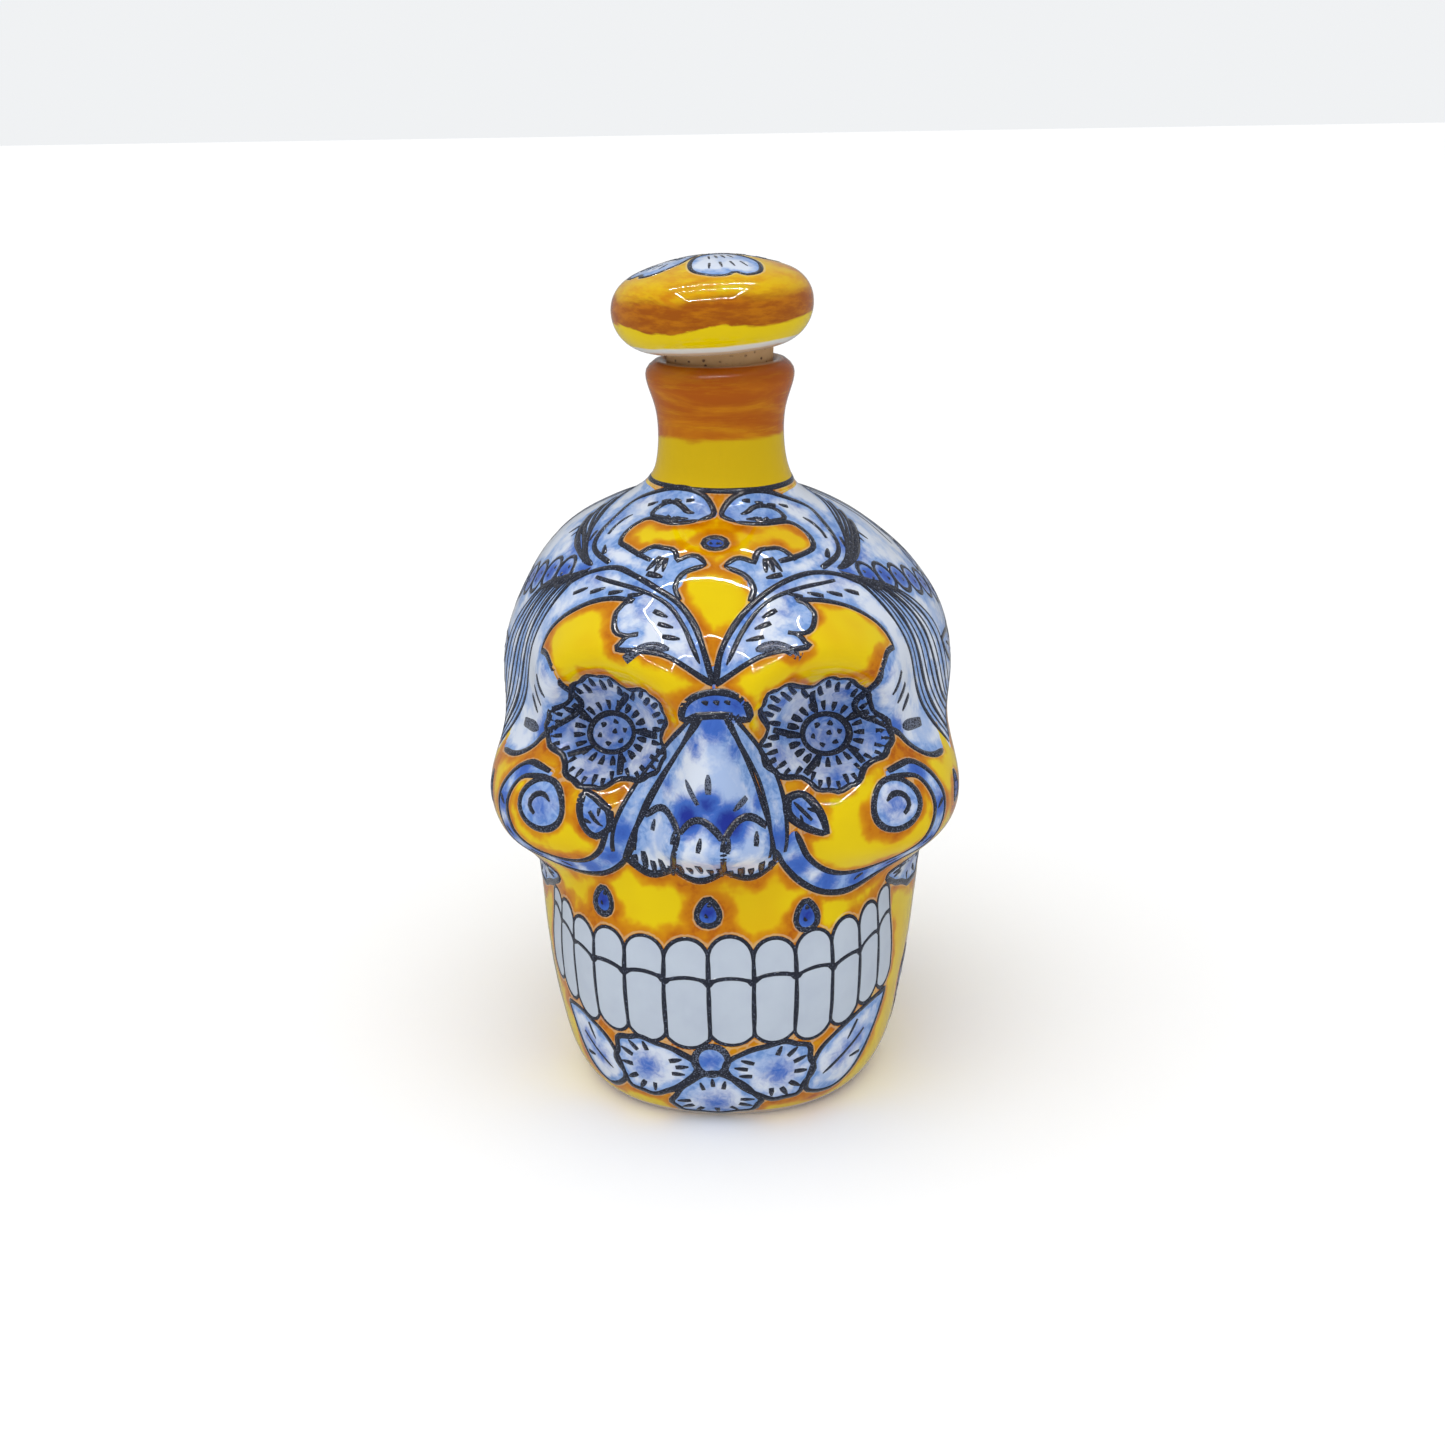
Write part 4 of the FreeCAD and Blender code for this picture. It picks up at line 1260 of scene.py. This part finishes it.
def cap_flower_lines():
    """The flower on the top, in millimetres across the cap: petals, a middle and fine marks."""
    lines = []
    shapes = []
    for turn_degrees, size in CAP_PETALS:
        def at(radius, side, turn=math.radians(turn_degrees), size=size):
            return (size * (radius * math.cos(turn) - side * math.sin(turn)),
                    size * (radius * math.sin(turn) + side * math.cos(turn)))

        rim = [at(4.6, -2.2), at(9, -5.6), at(14, -6.6), at(17.2, -4.2), at(18, -1.2), at(17, 0.6),
               at(18.2, 2.4), at(16.6, 5.4), at(12, 6.4), at(8, 4.8), at(4.6, 2.2)]
        outline = spline(rim, closed=True, steps=6)
        shapes.append(outline)
        lines.append((outline, True, 1.3, True))
        for side in (-3.6, -1.2, 1.2, 3.6):
            lines.append((np.array([at(14.6, side), at(12, side * 0.8)]), False, 0.9, False))
            lines.append((np.array([at(9.4, side * 0.62), at(7, side * 0.5)]), False, 0.9, False))
    turns = [math.radians(a) for a in range(0, 360, 20)]
    ring = np.array([(4.2 * math.cos(a), 4.2 * math.sin(a)) for a in turns])
    shapes.append(ring)
    lines.append((ring, True, 1.4, True))
    for a in range(0, 360, 45):
        dot = np.array([2.4 * math.cos(math.radians(a)), 2.4 * math.sin(math.radians(a))])
        lines.append((np.array([dot, dot + 0.4]), False, 1.0, False))
    return shapes, lines


CAP_FLOWER_SHIFT = np.array([-1.0, 6.5])
CAP_PETALS = ((-73, 1.38), (4, 1.0), (74, 0.84), (146, 0.95), (216, 1.22))


def paint_cap(cap):
    """Lay the flower on the cap from above, and give the cap the same paint fields as the skull."""
    tree = tree_of(cap.data)
    shapes, lines = cap_flower_lines()

    def on_cap(x, y):
        start = Vector((CAP_CENTRE.x + x * MM, CAP_CENTRE.y + y * MM, cap_high.z + 10 * MM))
        place, normal, _, _ = tree.ray_cast(start, Vector((0, 0, -1)), 0.1)
        return place, normal

    drawn_lines = []
    edges = []
    for path, closed, width, edge in lines:
        found = [on_cap(*(p + CAP_FLOWER_SHIFT)) for p in round_again(path, closed)]
        line = evenly(found, closed, math.floor)
        if not line:
            continue
        drawn_lines.append((line, closed, width, 0.1))
        if edge:
            edges += [p for p, _ in line]
    co = places_of(cap)
    flat = (co[:, :2] - np.array(CAP_CENTRE[:2])) / MM - CAP_FLOWER_SHIFT
    petals = np.zeros(len(co), bool)
    for outline in shapes:
        petals |= inside(outline, flat[:, 0], flat[:, 1])
    petals &= co[:, 2] > CAP_CENTRE.z
    gaps = nearest_gaps(co, edges)
    set_fields(cap.data, gap=gaps, warm=np.where(petals, -gaps, gaps), strong=np.zeros(len(co)))
    return tree, drawn_lines


# From here on the ribbons are dropped to the cap's skin.
cap = build_cap()
skin, cap_lines = paint_cap(cap)
cap_brushwork = ribbon_mesh("cap_brush_lines", cap_lines)


# ------------ pieces, bodies and finishes

glaze_look = skull_glaze()
ink_look = ink_glaze()
dress(shell, glaze_look)
dress(linework, ink_look)
dress(cap, cap_glaze())
dress(cap_brushwork, ink_look)
dress(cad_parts["stopper_cork"], cork_look())
dress(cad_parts["cork_adhesive"], glue_look())

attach(shell, "bottle")
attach(linework, "bottle")
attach(cap, "stopper")
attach(cap_brushwork, "stopper")
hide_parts("skull_bottle")
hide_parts("stopper_cap")


# ------------ studio

def build_floor():
    n = Nodes("studio_floor")
    n.colour(n.mix(n.noise(9.0, 3.0), FLOOR_GREY, FLOOR_WHITE), 0.7)
    half = 6.0
    corners = [(-half, -half, 0), (half, -half, 0), (half, half, 0), (-half, half, 0)]
    floor = mesh_object("studio_floor", corners, [(0, 1, 2, 3)], smooth=False)
    floor.visible_glossy = False
    dress(floor, n.material)


ROOM_LIGHT = 0.36
ROOM_SEEN = 0.9
KEY_LIGHT = 2.6
FRAME_WIDTH, FRAME_DEPTH = 0.41, 0.29
FRAME_X, FRAME_Y, FRAME_HEIGHT = -0.02, -0.21, 0.62
BACK_STRIP_GAP = 0.15
STRIP_WIDTH = 0.0035
STRIP_POWER = 1.0


def build_lights():
    """A light tent: an even pale room, a broad soft key from above, and a frame of thin strips overhead.

    One more strip lies behind the frame, where only the cap reflects it.
    """
    world = bpy.data.worlds.new("studio")
    bpy.context.scene.world = world
    bpy.context.scene.view_settings.view_transform = "Standard"
    world.use_nodes = True
    background = world.node_tree.nodes["Background"]
    background.inputs["Color"].default_value = (0.97, 0.985, 1.0, 1.0)
    light_path = world.node_tree.nodes.new("ShaderNodeLightPath")
    strength = world.node_tree.nodes.new("ShaderNodeMapRange")
    strength.inputs["To Min"].default_value = ROOM_LIGHT
    strength.inputs["To Max"].default_value = ROOM_SEEN
    world.node_tree.links.new(light_path.outputs["Is Camera Ray"], strength.inputs["Value"])
    world.node_tree.links.new(strength.outputs["Result"], background.inputs["Strength"])
    key = bpy.data.lights.new("key", "SUN")
    key.energy = KEY_LIGHT
    key.angle = math.radians(110.0)
    item = in_scene("key", key)
    item.rotation_mode = "QUATERNION"
    item.rotation_quaternion = Vector((0.10, 0.24, -0.96)).to_track_quat("-Z", "Y")
    item.visible_glossy = False
    item.visible_camera = False
    for side in range(5):
        turn = side * math.pi / 2
        length, reach = (FRAME_WIDTH, FRAME_DEPTH / 2) if side % 2 == 0 else (FRAME_DEPTH, FRAME_WIDTH / 2)
        if side == 4:
            reach += BACK_STRIP_GAP
        strip = bpy.data.lights.new("strip", "AREA")
        strip.shape = "RECTANGLE"
        strip.size = length
        strip.size_y = STRIP_WIDTH
        strip.energy = STRIP_POWER
        item = in_scene("strip", strip)
        item.location = (FRAME_X - reach * math.sin(turn), FRAME_Y + reach * math.cos(turn), FRAME_HEIGHT)
        item.rotation_euler = (0.0, 0.0, turn)
        item.visible_diffuse = False
        item.visible_camera = False


def build_camera():
    """A little above the stopper, nearly square to the face, rolled by about a degree."""
    azimuth, pitch, roll = math.radians(-2.9), math.radians(18.0), math.radians(1.05)
    distance, height, aside = 0.5425, 0.2689, -0.001
    camera = bpy.data.cameras.new("camera")
    camera.sensor_width = 36.0
    camera.lens = 52.3
    camera.clip_start = 0.02
    item = in_scene("camera", camera)
    sine, cosine = math.sin(azimuth), math.cos(azimuth)
    item.location = (AXIS.x - distance * sine + aside, AXIS.y - distance * cosine, height)
    ahead = Vector((sine * math.cos(pitch), cosine * math.cos(pitch), -math.sin(pitch)))
    item.rotation_mode = "QUATERNION"
    item.rotation_quaternion = Quaternion(ahead, roll) @ ahead.to_track_quat("-Z", "Y")
    bpy.context.scene.camera = item


build_floor()
build_lights()
build_camera()
